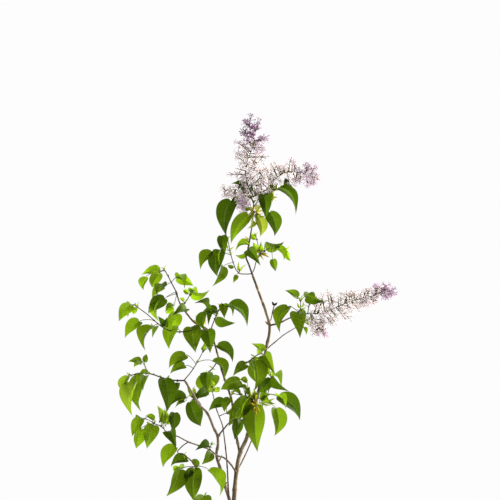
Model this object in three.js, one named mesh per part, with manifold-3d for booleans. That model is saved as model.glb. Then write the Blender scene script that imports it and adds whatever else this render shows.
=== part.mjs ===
// A young lilac bush in bloom, standing in a plain clay pot.
//
// Millimetres, +Z up. The origin is the centre of the pot's flat underside. Seen from the front
// (looking along +Y) the bush spreads along X. One main stem rises from the potting soil, forks low
// down into thinner stems and boughs, and each bough ends where it meets a leafy shoot or a panicle
// of blossom. A shoot is one solid: its twigs with the leaves fused on. Stems meet 0.3 mm clear.

import * as THREE from "three";
import { mergeVertices } from "three/addons/utils/BufferGeometryUtils.js";
import Module from "manifold-3d";

const wasm = await Module();
wasm.setup();

// ---------------------------------------------------------------- driving dimensions
const JOINT_GAP = 0.3; // clearance where one stem meets another

const POT = {
  height: 225,
  baseRadius: 88,
  shoulderRadius: 117, // under the rim band
  rimRadius: 127,
  rimHeight: 34,
  wall: 9,
  floor: 11,
  facets: 32,
  drainRadius: 7,
  drainCircle: 48,
  drains: 4,
};
const SOIL_LEVEL = 200;
const CROWN_DEPTH = 1.7; // stretches the y of every route, and so the crown from front to back

const FLARE = { height: 26, extra: 4.6 }; // root flare at the foot of the main stem

const LEAF = {
  thickness: 1.3, // at the midrib
  stalkRadius: 0.95,
  rootRadius: 0.4, // of the stalk at the middle of its twig
  elbow: 3, // the stalk turns into the blade's line this far before the blade
  fold: 0.36, // rise of a half blade for each unit of its width
  arch: 0.16, // height of the blade's arch for each unit of its length
  slopes: [0.12, 0.3, 0.48, 0.66], // leans of a blade towards or away from the front
  room: 15, // as much room as a leaf looks for round its blade
  turn: 42, // widest seeded turn of a blade about its midrib, degrees
  // one half of the heart-shaped blade: along the midrib, and out from it, as shares of its length
  half: [[-0.08, 0.14], [0.12, 0.31], [0.42, 0.29], [0.72, 0.12]],
  middle: 0.42,
};

const FLORET = { radius: 9, notch: 0.36, dome: 1.6, stalkRadius: 0.8, rootRadius: 0.35 };

const COLOURS = {
  clay: 0xb4694a,
  soil: 0x3a2a1f,
  bark: 0x8a7460,
  leaf: 0x5c9a1e,
  blossom: 0xd6bfdc,
};

// ---------------------------------------------------------------- stems and boughs
// Each is one tapering limb: a route of [x, y, z], its radius at the foot and at the tip, the
// number of its sides, and the limb that it grows from.
const LIMBS = {
  main_stem: {
    radius: [4.9, 2.4], sides: 8,
    route: [[-8, 0, SOIL_LEVEL], [-8, 0, 211], [-7, 0, 230], [-2, 0, 280], [3, 1, 336], [11, 2, 376],
      [22, 3, 400],
      [44, 5, 486], [56, 4, 530], [61, 2, 575], [69, 0, 630], [62, -2, 656], [49, -3, 692],
      [43, -4, 709], [35.2, -4, 729.4]],
  },
  left_stem: {
    radius: [3.4, 2.0], sides: 6, from: "main_stem",
    route: [[-5, 0, 250], [-11, -2, 280], [-20, -4, 309], [-28, -6, 340], [-37, -8, 372],
      [-34, -8, 393], [-35.4, -10, 410], [-41, -12, 422], [-59, -18, 460], [-70, -21, 470],
      [-83, -25, 493], [-99.2, -30, 520]],
  },
  left_bough: {
    radius: [2.9, 1.7], sides: 6, from: "main_stem",
    route: [[10, 3, 371], [3, 9, 406], [-8, 17, 484], [-22, 24, 524], [-38, 34, 580],
      [-46, 40, 604], [-57, 45, 620], [-82, 56, 633], [-97, 62, 650], [-112, 68, 672],
      [-117.4, 71, 687]],
  },
  front_bough: {
    radius: [1.9, 1.3], sides: 5, from: "main_stem",
    route: [[3, -1, 334], [-9, -8, 353], [-24, -16, 367], [-34, -22, 370], [-49, -27, 382],
      [-72, -37, 392], [-92, -47, 400], [-111, -57, 411]],
  },
  slender_stem: {
    radius: [1.7, 1.0], sides: 5, from: "left_stem",
    route: [[-12, -2, 285], [-13.5, 1, 304], [-15, 3, 336], [-18, 5, 375], [-22.4, 6, 411],
      [-25, 7, 428], [-32, 8, 447], [-37.2, 9, 461], [-44.6, 10, 492]],
  },
  right_thin_twig: {
    radius: [1.5, 1.0], sides: 5, from: "main_stem",
    route: [[6, 2, 341], [16, 8, 360], [32, 13, 395], [56, 20, 470]],
  },
  right_branch: {
    radius: [1.9, 1.3], sides: 5, from: "main_stem",
    route: [[69, 0, 629], [88, -10, 634], [108, -20, 644], [130, -30, 652.4]],
  },
  right_long_twig: {
    radius: [1.3, 0.9], sides: 5, from: "main_stem",
    route: [[61, 2, 580], [77, 6, 593], [101, 12, 612], [118, 16, 622]],
  },
  dead_twig: {
    radius: [1.2, 1.1], sides: 5, from: "main_stem",
    route: [[68.5, 0, 633], [72, 2, 641], [75, 4, 655], [79, 6, 671]],
  },
  short_spur: {
    radius: [1.8, 1.4], sides: 5, from: "left_stem",
    route: [[-35, -10, 408], [-29, -16, 415], [-14, -26, 434]],
  },
};

// ---------------------------------------------------------------- leafy shoots
// A shoot has a stem and may have twigs that fork off an earlier one. A leaf stands at a share of
// its twig's length and is given, as seen from the front, by its stalk and its blade:
// [place, stalk's heading, stalk's length, blade's heading, blade's length, turn of its face].
// Headings are in degrees (0 is to the right, 90 up); without a turn the seed deals one out.
// "deep" more leaves point to the front and the back by the seeded rule.
const SHOOTS = {
  top_shoot: {
    from: "main_stem", seed: 11, deep: 2, deepLeaf: 46,
    twigs: [
      { radius: [1.9, 1.2],
        route: [[35.2, -4, 729.7], [26.4, -4, 754], [22.4, -4, 764], [26, -3, 782], [31.4, -2, 812],
          [35, 0, 836], [37, 0, 872]],
        leaves: [[0.88, 152, 50, -98, 71, 15], [0.95, 50, 33, -86, 48, 15], [0.88, 1, 33, -78, 49, -8],
          [0.88, 202, 11, -121, 68, 6], [0.86, -33, 14, -85, 38, -15], [0.84, -105, 10, -112, 18],
          [0.4, 60, 5, -159, 31, 62], [0.34, 60, 4, -54, 38, 25], [0.3, 150, 5, 192, 20], [0.95, 35, 62, -50, 60, -45]] },
      { radius: [1.1, 0.8],
        fork: [0, 0.02],
        route: [[22, -9, 732], [8, -14, 734], [2, -17, 741], [-2, -20, 751], [-6, -22, 763],
          [-14, -24, 800]],
        leaves: [[1, 148, 14, -80, 38, 10], [0.78, 177, 23, -93, 53, -8], [0.7, 173, 38, -128, 40, 15],
          [0.55, 202, 22, -118, 44, -34], [0.3, -138, 7, -111, 16], [0.45, 180, 4, 155, 12]] },
      { radius: [1.1, 0.7],
        fork: [0, 0.02],
        route: [[39, 0, 744], [43, 3, 759], [50.6, 6, 773], [47, 8, 787], [42, 10, 808]],
        leaves: [[0.53, 130, 6, 115, 23], [0.56, 100, 6, 80, 18], [0.9, 150, 4, 130, 15]] },
      { radius: [0.9, 0.7], fork: [2, 0.52], route: [[75, 10, 786], [100, 14, 781]],
        leaves: [[0.2, 77, 21, 0, 36, 60], [0.6, 0, 5, -56, 30], [1, -50, 5, -68, 22],
          [0.5, -83, 24, -76, 25]] },
    ],
  },
  high_left_shoot: {
    from: "left_bough", seed: 23, deep: 2, deepLeaf: 44,
    twigs: [
      { radius: [1.4, 1.0],
        route: [[-117.5, 71.1, 687.4], [-121, 73, 697], [-130, 76, 714], [-136, 78, 726],
          [-144, 80, 740]],
        leaves: [[1, 209, 11, 185, 38, 20], [0.95, 198, 42, -100, 27], [1, 215, 12, -118, 35, 5],
          [0.5, 214, 18, -137, 34], [0.5, 38, 18, -31, 36, 10], [0.12, 208, 27, -139, 46, 15],
          [0.06, 207, 38, -96, 40, 60], [0.04, -107, 28, -143, 20]] },
    ],
  },
  bough_side_shoot: {
    from: "left_bough", seed: 31, deep: 1, deepLeaf: 34,
    twigs: [
      { radius: [1.2, 0.8], route: [[-108.5, 66.4, 666.8], [-101, 55, 674], [-92, 50, 688]],
        leaves: [[1, 70, 9, 0, 38, 50], [1, 130, 5, 140, 13], [0.5, 150, 4, 135, 11],
          [0.45, -126, 27, -116, 48, 5], [0.2, -60, 16, 190, 30, 60]] },
    ],
  },
  inner_left_shoot: {
    from: "left_bough", seed: 47, deep: 2, deepLeaf: 42,
    twigs: [
      { radius: [1.4, 0.9], route: [[-52, 43, 612], [-46, 32, 628], [-39, 26, 646], [-30, 22, 664]],
        leaves: [[1, 12, 17, -46, 57, -46], [1, 45, 10, -88, 28, 10], [0.9, 170, 4, 190, 32, 30],
          [0.6, 30, 5, -17, 39, 25], [0.72, 165, 22, -93, 38, 50], [0.8, 160, 21, 146, 29, 60]] },
    ],
  },
  far_left_shoot: {
    from: "left_bough", seed: 53, deep: 2, deepLeaf: 48,
    twigs: [
      { radius: [1.5, 0.9],
        route: [[-59, 45, 620.5], [-66, 34, 619], [-82, 24, 618], [-104, 16, 616], [-118, 12, 616],
          [-143, 6, 624], [-158, 3, 636], [-177, 0, 652.6], [-194, -2, 665]],
        leaves: [[1, 165, 17, -123, 39, 10], [1, -150, 3, -120, 15], [0.76, 183, 31, -131, 44, 28],
          [0.7, 208, 14, -112, 49, 46], [0.42, 140, 17, -102, 47, 20], [0.22, 145, 11, -79, 51, -8],
          [0.08, -10, 8, -83, 46, 15]] },
    ],
  },
  mid_left_shoot: {
    from: "left_stem", seed: 61, deep: 3, deepLeaf: 52,
    twigs: [
      { radius: [1.6, 1.0],
        route: [[-99.5, -30.2, 520.4], [-126, -36, 522], [-144, -40, 526.6], [-160, -42, 532.6],
          [-169, -43, 535], [-190, -46, 536], [-205, -48, 532]],
        leaves: [[1, 200, 7, -96, 37, 40], [0.92, -100, 20, -95, 62, 30], [0.7, -137, 9, -97, 71, 34],
          [0.7, 118, 28, -138, 20], [0.7, 120, 27, 178, 25, 20], [0.7, 106, 24, 75, 16],
          [0.66, 200, 3, 186, 21, 60], [0.42, -40, 6, -87, 65, 8], [0.13, -90, 6, -92, 28, 30]] },
      { radius: [1.2, 0.8], fork: [0, 0.02], route: [[-87, -30, 538], [-74, -28, 558.6], [-64, -26, 577]],
        leaves: [[0.6, 140, 28, -141, 43, 10], [0.45, 163, 18, -153, 33, 30], [0.65, 5, 31, -60, 46, -46],
          [1, 24, 32, -47, 46, -46], [1, 95, 5, 75, 16]] },
    ],
  },
  inner_shoot: {
    from: "left_stem", seed: 71, deep: 1, deepLeaf: 44,
    twigs: [
      { radius: [1.3, 0.9], route: [[-76, -22.7, 480.5], [-71, -6, 490], [-64, 0, 505], [-60, 3, 522]],
        leaves: [[1, 75, 12, -86, 38, 12], [0.5, 20, 14, -150, 33, 15], [0.3, -147, 20, -66, 54, -10],
          [0.44, 188, 27, -151, 38, 40]] },
    ],
  },
  low_left_shoot: {
    from: "front_bough", seed: 83, deep: 2, deepLeaf: 48,
    twigs: [
      { radius: [1.2, 0.9],
        route: [[-111.3, -57.2, 411.2], [-134, -66, 420], [-144, -70, 432], [-158, -74, 438]],
        leaves: [[1, 161, 30, -114, 38, 12], [1, 202, 30, -101, 40, -32], [1, -130, 5, -104, 47, 5],
          [0.74, 46, 37, -98, 38, -10], [0.47, 14, 7, -70, 34, 20], [0.14, -87, 24, -124, 48, 15],
          [1, 95, 8, 160, 20], [0.76, 80, 10, 84, 19, 20]] },
    ],
  },
  low_mid_shoot: {
    from: "front_bough", seed: 89, deep: 0,
    twigs: [
      { radius: [1.1, 0.7], route: [[-49, -27, 382], [-50, -33, 387], [-47, -38, 393]],
        leaves: [[0.8, 180, 3, 192, 27, 40], [0.55, -80, 10, -129, 29, 10]] },
    ],
  },
  hanging_shoot: {
    from: "front_bough", seed: 97, deep: 1, deepLeaf: 46,
    twigs: [
      { radius: [1.2, 0.9],
        route: [[-92, -47, 400], [-106, -34, 389], [-114, -28, 378], [-100, -24, 371],
          [-88, -22, 362], [-79, -22, 348]],
        leaves: [[1, 189, 32, -113, 59, -40], [1, -108, 4, -92, 66, -5], [0.98, -16, 30, -67, 57, -38],
          [1, 205, 12, -120, 22], [0.9, 150, 12, -158, 37, 45], [0.85, 30, 6, -70, 17]] },
    ],
  },
  low_back_shoot: {
    from: "left_stem", seed: 101, deep: 2, deepLeaf: 50,
    twigs: [
      { radius: [1.3, 0.9], route: [[-10, -1.6, 275], [-24, 14, 273], [-42, 30, 271], [-56, 40, 276]],
        leaves: [[1, 130, 10, -95, 56, 10], [0.8, 190, 22, -130, 50, 12], [0.7, -20, 10, -60, 44]] },
    ],
  },
  centre_upper_shoot: {
    from: "main_stem", seed: 105, deep: 2, deepLeaf: 40,
    twigs: [
      { radius: [1.2, 0.8], route: [[60, 2, 570], [52, -10, 573], [40, -18, 568], [27, -22, 557]],
        leaves: [[0.35, 59, 14, -136, 23, 15], [0.35, 84, 7, 144, 24, 15], [0.25, -27, 6, -63, 39, 5],
          [0.85, -50, 6, -88, 59, -20], [1, 215, 8, -138, 33, 10]] },
    ],
  },
  centre_right_shoot: {
    from: "right_thin_twig", seed: 107, deep: 2, deepLeaf: 48,
    twigs: [
      { radius: [1.0, 0.8],
        route: [[56.1, 20.1, 470.4], [64, 14, 488], [70, 2, 508], [72, -12, 526]],
        leaves: [[0.3, -9, 25, -49, 64, -18], [0.06, -27, 28, -93, 57, -30], [0.45, 150, 5, -60, 36, 30],
          [1, -90, 6, -135, 37, 15], [1, 24, 5, -48, 42, 42]] },
    ],
  },
  centre_left_shoot: {
    from: "main_stem", seed: 109, deep: 1, deepLeaf: 50,
    twigs: [
      { radius: [1.4, 1.0], route: [[43, 4, 480], [38, -8, 482], [31, -14, 484]],
        leaves: [[1, -66, 20, -88, 88, 5], [1, 197, 6, -125, 68, 8]] },
      { radius: [1.0, 0.8], fork: [0, 0.95], route: [[20, -18, 489], [-2, -22, 494]],
        leaves: [[0.35, 111, 33, -154, 43, 10], [0.35, 85, 28, 168, 17, 30], [0.4, 80, 12, 167, 18, 55], [1, 225, 13, -110, 30, 20],
          [0.6, 150, 4, 175, 17, 65], [0.3, 60, 6, 80, 16]] },
    ],
  },
  back_shoot: {
    from: "main_stem", seed: 149, deep: 1, deepLeaf: 44,
    twigs: [
      { radius: [1.4, 0.9], route: [[57.7, 3.3, 545], [54, 24, 552], [46, 52, 556], [40, 72, 553]],
        leaves: [[1, 120, 8, -85, 44], [0.95, 30, 10, -60, 40], [0.6, 200, 8, -85, 42]] },
    ],
  },
  back_left_shoot: {
    from: "left_bough", seed: 151, deep: 1, deepLeaf: 44,
    twigs: [
      { radius: [1.4, 0.9], route: [[-32.5, 30.5, 560], [-44, 52, 543], [-56, 80, 528]],
        leaves: [[1, 200, 6, -80, 44], [1, -30, 8, -105, 42], [0.6, 230, 12, -95, 40]] },
    ],
  },
  spur_shoot: {
    from: "short_spur", seed: 113, deep: 1, deepLeaf: 36,
    twigs: [
      { radius: [1.2, 0.9], route: [[-13.7, -26.3, 434.4], [-6, -34, 440], [4, -42, 446]],
        leaves: [[1, -20, 9, -110, 42, 12], [0.6, 110, 5, 100, 20]] },
    ],
  },
  right_shoot: {
    from: "right_branch", seed: 127, deep: 2, deepLeaf: 46,
    twigs: [
      { radius: [1.2, 0.8], route: [[120, -26, 648.6], [125, -38, 655], [130, -46, 666], [130, -49, 680]],
        leaves: [[1, 128, 9, 153, 29, 10], [0.97, 38, 16, -20, 36, 12], [0.45, 152, 23, -108, 54, 20],
          [0.25, 45, 4, -87, 50, 20]] },
    ],
  },
  right_low_shoot: {
    from: "right_long_twig", seed: 131, deep: 1, deepLeaf: 38,
    twigs: [
      { radius: [0.9, 0.7], route: [[118.2, 16, 622.2], [130, 16, 630], [141, 14, 637]],
        leaves: [[1, -105, 13, -68, 16], [1, 51, 7, -44, 18, 30], [0.7, 100, 5, 95, 16]] },
    ],
  },
  slender_shoot: {
    from: "slender_stem", seed: 137, deep: 0,
    twigs: [
      { radius: [0.9, 0.8], route: [[-44.7, 10, 492.4], [-46, 10, 499], [-46, 10, 504]],
        leaves: [[0.7, 10, 3, 20, 15], [0.8, 170, 3, 165, 15], [1, 90, 2, 95, 13]] },
    ],
  },
  slender_side_shoot: {
    from: "slender_stem", seed: 139, deep: 0,
    twigs: [
      { radius: [1.0, 0.8], route: [[-32, 8, 447], [-24, 5, 451], [-15, 2, 454]],
        leaves: [[0.9, 98, 21, -155, 37, 25], [1, 10, 2, 15, 10], [1, -60, 2, -50, 9]] },
    ],
  },
};

// ---------------------------------------------------------------- blossom
// A panicle is a route, the reach of its side stalks at its foot, middle and tip, and the number
// of florets on it. The florets follow each other by the golden angle.
const GOLDEN_ANGLE = 137.5;
const BLOSSOM = {
  top_blossom: {
    seed: 211,
    panicles: [
      { florets: 26, reach: [16, 34, 18], from: 0.2,
        route: [[37, 0, 872.8], [30, 2, 894], [21, 3, 944], [28, 2, 967], [36, 0, 988], [38, 0, 1006],
          [31, 0, 1017], [27, 0, 1033]] },
      { florets: 11, reach: [16, 22, 8], from: 0.3,
        route: [[31.2, 1.7, 889], [62, 16, 901], [82, 18, 924], [101, 18, 936], [123, 17, 937],
          [161, 14, 925]] },
      { florets: 7, reach: [9, 15, 8], from: 0.3,
        route: [[34.2, 0.8, 881], [20, 12, 892], [2, 16, 901], [-24, 16, 897]] },
      { florets: 3, reach: [8, 12, 6], from: 0.5, route: [[32.5, 1.3, 885.5], [58, 20, 893], [84, 26, 885]] },
      { florets: 3, reach: [8, 12, 6], from: 0.5, route: [[28.6, 2.2, 901.7], [47, -8, 922], [60, -12, 942]] },
      { florets: 7, reach: [9, 15, 11], from: 0.3,
        route: [[33.8, 0.9, 882], [24, -9, 889], [15, -17, 883], [16, -21, 869]] },
    ],
  },
  right_blossom: {
    seed: 223,
    panicles: [
      { florets: 27, reach: [34, 36, 14], from: 0.16,
        route: [[130.8, -30.3, 652.7], [150, -30, 654], [172, -30, 653.4], [192, -29, 662],
          [212, -28, 671], [243, -27, 682], [275, -26, 689], [304, -25, 703]] },
      { florets: 7, reach: [12, 20, 10], from: 0.3,
        route: [[152.5, -30.5, 652.5], [158, -33, 641], [167, -35, 628], [172, -36, 616]] },
    ],
  },
};

// ---------------------------------------------------------------- geometry helpers
const radians = THREE.MathUtils.degToRad;
const vector = ([x, y, z]) => new THREE.Vector3(x, CROWN_DEPTH * y, z);
const FRONT = new THREE.Vector3(0, -1, 0);

function seeded(seed) {
  let state = (seed * 7919 + 12345) >>> 0;
  return () => {
    state = (Math.imul(state, 1664525) + 1013904223) >>> 0;
    return state / 4294967296;
  };
}

function geometryOf(vertices, triangles) {
  const geometry = new THREE.BufferGeometry();
  const numbers = vertices.flatMap((v) => [v.x, v.y, v.z]);
  geometry.setAttribute("position", new THREE.Float32BufferAttribute(numbers, 3));
  geometry.setIndex(triangles.flat());
  return geometry;
}

// A closed mesh as a solid that can be joined or cut.
function solidOf(geometry) {
  const bare = geometry.clone();
  bare.deleteAttribute("normal");
  bare.deleteAttribute("uv");
  const merged = mergeVertices(bare, 1e-4);
  return new wasm.Manifold(new wasm.Mesh({
    numProp: 3,
    vertProperties: new Float32Array(merged.attributes.position.array),
    triVerts: new Uint32Array(merged.index.array),
  }));
}

// All the solids as one, with loose scraps dropped and sealed hollows filled.
function joined(solids) {
  const bodies = solids.reduce((whole, next) => whole.add(next)).decompose();
  return bodies.reduce((most, body) => (body.volume() > most.volume() ? body : most));
}

function geometryFrom(solid) {
  const mesh = solid.getMesh();
  const geometry = new THREE.BufferGeometry();
  const position = new Float32Array(mesh.numVert * 3);
  for (let i = 0; i < mesh.numVert; i++) {
    for (let k = 0; k < 3; k++) position[3 * i + k] = mesh.vertProperties[mesh.numProp * i + k];
  }
  geometry.setAttribute("position", new THREE.BufferAttribute(position, 3));
  geometry.setIndex([...mesh.triVerts]);
  return geometry;
}

// The centre line of a stem through the points of its route.
function centreLine(points) {
  const path = new THREE.CurvePath();
  for (let i = 1; i < points.length; i++) {
    path.add(new THREE.LineCurve3(points[i - 1], points[i]));
  }
  return path;
}

// Places along a stem, for leaves to keep away from.
function placesAlong(path) {
  const count = Math.ceil(path.getLength() / LEAF.room);
  return Array.from({ length: count + 1 }, (_, i) => path.getPoint(i / count));
}

const tapered = ([foot, tip]) => (share) => THREE.MathUtils.lerp(foot, tip, share);

// A stem of changing radius with a ring of corners at each point of its route, closed at both ends.
function stemGeometry(path, radiusAt, sides) {
  const lengths = [0, ...path.getCurveLengths()];
  const lines = path.curves;
  const centres = [lines[0].v1, ...lines.map((line) => line.v2)];
  const vertices = [];
  const triangles = [];
  let across = new THREE.Vector3(1, 0.3, 0);
  centres.forEach((centre, i) => {
    const before = lines[Math.max(i - 1, 0)].getTangent(0);
    const after = lines[Math.min(i, lines.length - 1)].getTangent(0);
    const along = before.add(after).normalize();
    across = across.clone().addScaledVector(along, -across.dot(along)).normalize();
    const third = along.clone().cross(across);
    const radius = radiusAt(lengths[i] / lengths.at(-1));
    for (let k = 0; k < sides; k++) {
      const angle = (2 * Math.PI * k) / sides;
      vertices.push(centre.clone().addScaledVector(across, Math.cos(angle) * radius)
        .addScaledVector(third, Math.sin(angle) * radius));
    }
  });
  for (let i = 0; i < lines.length; i++) {
    for (let k = 0; k < sides; k++) {
      const [a, b] = [i * sides + k, i * sides + ((k + 1) % sides)];
      triangles.push([a, b, b + sides], [a, b + sides, a + sides]);
    }
  }
  const last = lines.length * sides;
  for (let k = 1; k + 1 < sides; k++) {
    triangles.push([0, k + 1, k], [last, last + k, last + k + 1]);
  }
  return geometryOf(vertices, triangles);
}

// ---------------------------------------------------------------- leaves
// The places on a twig that one leaf takes: where its stalk starts, where its blade starts and
// ends, and the way its upper face looks.
function placeLeaf(twig, [place, stalkHeading, stalkLength, heading, length, turn], slope, roll) {
  const headingVector = (degrees, size) => new THREE.Vector3(
    Math.cos(radians(degrees)) * size, slope * size, Math.sin(radians(degrees)) * size);
  const node = twig.path.getPoint(place);
  const base = node.clone().add(headingVector(stalkHeading, stalkLength));
  const tip = base.clone().add(headingVector(heading, length));
  const along = tip.clone().sub(base).normalize();
  const face = FRONT.clone().addScaledVector(along, -FRONT.dot(along)).normalize();
  face.applyAxisAngle(along, radians(turn ?? roll));
  return { node, base, tip, face };
}

// A leaf that points to the front or the back, for the depth of the crown. It stands before or
// behind another leaf of the shoot, on the side that one leans away from.
function placeDeepLeaf(other, length, random) {
  const { node } = other;
  const side = other.tip.y > other.base.y ? -1 : 1;
  const drift = random() - 0.5;
  const size = length * (0.8 + 0.3 * random());
  const fall = other.tip.clone().sub(other.base).setY(0).normalize();
  const base = node.clone().lerp(other.base, 0.8).setY(node.y + side * 0.3 * length);
  const tip = base.clone().addScaledVector(fall, 0.5 * size)
    .add(new THREE.Vector3(0.2 * drift * size, side * 0.74 * size, -0.1 * size));
  const along = tip.clone().sub(base).normalize();
  const up = new THREE.Vector3(0.5 * drift, 0, 1);
  const face = up.addScaledVector(along, -up.dot(along)).normalize();
  return { node, base, tip, face };
}

// The three corners of a stalk round one point of it.
function stalkRing(centre, along, across, radius) {
  const side = across.clone().addScaledVector(along, -across.dot(along)).normalize();
  const up = side.clone().cross(along);
  return [[0.9, -0.6], [0, 1], [-0.9, -0.6]].map(([w, h]) => centre.clone()
    .addScaledVector(side, w * radius).addScaledVector(up, h * radius));
}

// A leaf as one closed body: a three-sided stalk that opens into two half blades, which rise
// from an arched midrib and thin out to the rim.
function leafGeometry({ node, base, tip, face }) {
  const length = base.distanceTo(tip);
  const along = tip.clone().sub(base).normalize();
  const across = along.clone().cross(face);
  const elbow = base.clone()
    .addScaledVector(along, -Math.min(LEAF.elbow, 0.35 * node.distanceTo(base)));
  const rise = elbow.clone().sub(node).normalize();
  const bend = rise.clone().add(along).normalize();
  const point = (s, w, drop) => base.clone()
    .addScaledVector(along, s * length)
    .addScaledVector(across, w * length)
    .addScaledVector(face, (4 * LEAF.arch * s * (1 - s) + LEAF.fold * Math.abs(w)) * length - drop);

  const vertices = [
    ...stalkRing(base, along, across, LEAF.stalkRadius),
    ...stalkRing(elbow, bend, across, LEAF.stalkRadius),
    ...stalkRing(node, rise, across, LEAF.rootRadius),
  ];
  const [left, ridge, right] = [0, 1, 2];
  const triangles = [[6, 7, 8]];
  for (const ring of [0, 3]) {
    for (const [a, b] of [[0, 1], [1, 2], [2, 0]]) {
      triangles.push([ring + a, ring + b, ring + b + 3], [ring + a, ring + b + 3, ring + a + 3]);
    }
  }
  const add = (v) => vertices.push(v) - 1;
  const upper = add(point(LEAF.middle, 0, 0));
  const under = add(point(LEAF.middle, 0, LEAF.thickness));
  const end = add(point(1, 0, LEAF.thickness / 2));
  const halfBlade = (heel, middle, [r0, r1, r2, r3]) => [[heel, r0, r1], [heel, r1, middle],
    [middle, r1, r2], [middle, r2, r3], [middle, r3, end]];
  const turned = (faces) => faces.map(([a, b, c]) => [a, c, b]);
  const rimOf = (sign) => LEAF.half.map(([s, w]) => add(point(s, sign * w, LEAF.thickness / 2)));
  const [rimLeft, rimRight] = [rimOf(1), rimOf(-1)];
  triangles.push(
    ...halfBlade(ridge, upper, rimLeft), ...turned(halfBlade(left, under, rimLeft)),
    ...turned(halfBlade(ridge, upper, rimRight)), ...halfBlade(right, under, rimRight),
    [under, left, right], [left, rimLeft[0], ridge], [ridge, rimRight[0], right]);
  return geometryOf(vertices, triangles);
}

function twigsOf(shoot) {
  const twigs = [];
  for (const twig of shoot.twigs) {
    const foot = twig.fork ? [twigs[twig.fork[0]].path.getPoint(twig.fork[1])] : [];
    twigs.push({ ...twig, path: centreLine([...foot, ...twig.route.map(vector)]) });
  }
  return twigs;
}

// Blades mostly face the front, so a step in depth parts them better than one across.
const roomBetween = (a, b) => 0.5 * Math.hypot(a.x - b.x, a.z - b.z) + Math.abs(a.y - b.y);

// Of the ways a leaf could lean, the one with most room round its blade.
function roomiest(leaves, crowd) {
  let best = { room: -1 };
  for (const leaf of leaves) {
    const blade = [0.2, 0.5, 0.8, 1].map((s) => leaf.base.clone().lerp(leaf.tip, s));
    const rooms = crowd.flatMap((other) => blade.map((mine) => roomBetween(mine, other)));
    const room = Math.min(LEAF.room, ...rooms);
    if (room > best.room + 0.5) best = { room, leaf, blade };
  }
  crowd.push(...best.blade);
  return best.leaf;
}

// The leaves of one shoot. The crowd holds the places that stems and earlier leaves take.
function leavesOf(shoot, twigs, crowd) {
  const random = seeded(shoot.seed);
  const leaves = [];
  for (const twig of twigs) {
    for (const leaf of twig.leaves) {
      const side = random() < 0.5 ? 1 : -1;
      const roll = LEAF.turn * (2 * random() - 1);
      const slopes = LEAF.slopes.flatMap((slope) => [side * slope, -side * slope]);
      leaves.push(roomiest(slopes.map((slope) => placeLeaf(twig, leaf, slope, roll)), crowd));
    }
  }
  const longest = Math.max(...leaves.map((leaf) => leaf.base.distanceTo(leaf.tip)));
  const large = leaves.filter((leaf) => leaf.base.distanceTo(leaf.tip) > 0.65 * longest);
  for (let i = 0; i < shoot.deep; i++) {
    const tries = [1, 2, 3, 4].map(() => placeDeepLeaf(
      large[Math.floor(random() * large.length)], shoot.deepLeaf, random));
    leaves.push(roomiest(tries, crowd));
  }
  return leaves;
}

function shootSolid(shoot, crowd) {
  const twigs = twigsOf(shoot);
  const leaves = leavesOf(shoot, twigs, crowd);
  crowd.push(...twigs.flatMap((twig) => placesAlong(twig.path)));
  return joined([
    ...twigs.map((twig) => solidOf(stemGeometry(twig.path, tapered(twig.radius), 3))),
    ...leaves.map((leaf) => solidOf(leafGeometry(leaf))),
  ]);
}

// ---------------------------------------------------------------- florets
// A floret as one closed body: four lobes round a low dome, on a three-sided stalk.
function floretGeometry({ node, centre, facing, spin }) {
  const helper = Math.abs(facing.z) > 0.9 ? new THREE.Vector3(1, 0, 0) : new THREE.Vector3(0, 0, 1);
  const across = helper.clone().cross(facing).normalize();
  const third = facing.clone().cross(across);
  const round = (middle, radius, angle) => middle.clone()
    .addScaledVector(across, Math.cos(angle) * radius)
    .addScaledVector(third, Math.sin(angle) * radius);
  const heel = centre.clone().addScaledVector(facing, -FLORET.dome);
  const vertices = [centre.clone().addScaledVector(facing, FLORET.dome)];
  for (const [middle, radius] of [[heel, FLORET.stalkRadius], [node, FLORET.rootRadius]]) {
    for (let k = 0; k < 3; k++) {
      vertices.push(round(middle, radius, spin + (2 * Math.PI * (k + 0.5)) / 3));
    }
  }
  const [heelFrom, nodeFrom, rimFrom] = [1, 4, 7];
  const triangles = [[nodeFrom, nodeFrom + 2, nodeFrom + 1]];
  for (let k = 0; k < 3; k++) {
    const [a, b] = [k, (k + 1) % 3];
    triangles.push([heelFrom + a, nodeFrom + a, nodeFrom + b], [heelFrom + a, nodeFrom + b,
      heelFrom + b]);
  }
  for (let k = 0; k < 8; k++) {
    const radius = FLORET.radius * (k % 2 ? FLORET.notch : 1);
    vertices.push(round(centre, radius, spin + (Math.PI * k) / 4));
  }
  for (let k = 0; k < 8; k++) {
    const [a, b] = [rimFrom + k, rimFrom + ((k + 1) % 8)];
    const [near, next] = [k, k + 1].map((n) => heelFrom + (Math.floor((n * 3) / 8) % 3));
    triangles.push([0, a, b], [near, b, a]);
    if (near !== next) triangles.push([near, next, b]);
  }
  return geometryOf(vertices, triangles);
}

function floretsOf(panicle, random) {
  const path = centreLine(panicle.route.map(vector));
  const [foot, middle, tip] = panicle.reach;
  const florets = [];
  for (let i = 0; i < panicle.florets; i++) {
    const share = panicle.from + (1 - panicle.from) * ((i + 0.5) / panicle.florets);
    const spread = share < 0.5
      ? THREE.MathUtils.lerp(foot, middle, share * 2)
      : THREE.MathUtils.lerp(middle, tip, share * 2 - 1);
    const along = path.getTangent(share);
    const side = new THREE.Vector3(1, 0.3, 0.2);
    side.addScaledVector(along, -side.dot(along)).normalize();
    side.applyAxisAngle(along, radians(GOLDEN_ANGLE * i + 20 * random()));
    const facing = side.addScaledVector(along, 0.35).normalize();
    const node = path.getPoint(share);
    const centre = node.clone().addScaledVector(facing, spread * (0.55 + 0.4 * random()));
    florets.push({ node, centre, facing, spin: Math.PI * random() });
  }
  return { path, florets };
}

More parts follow.
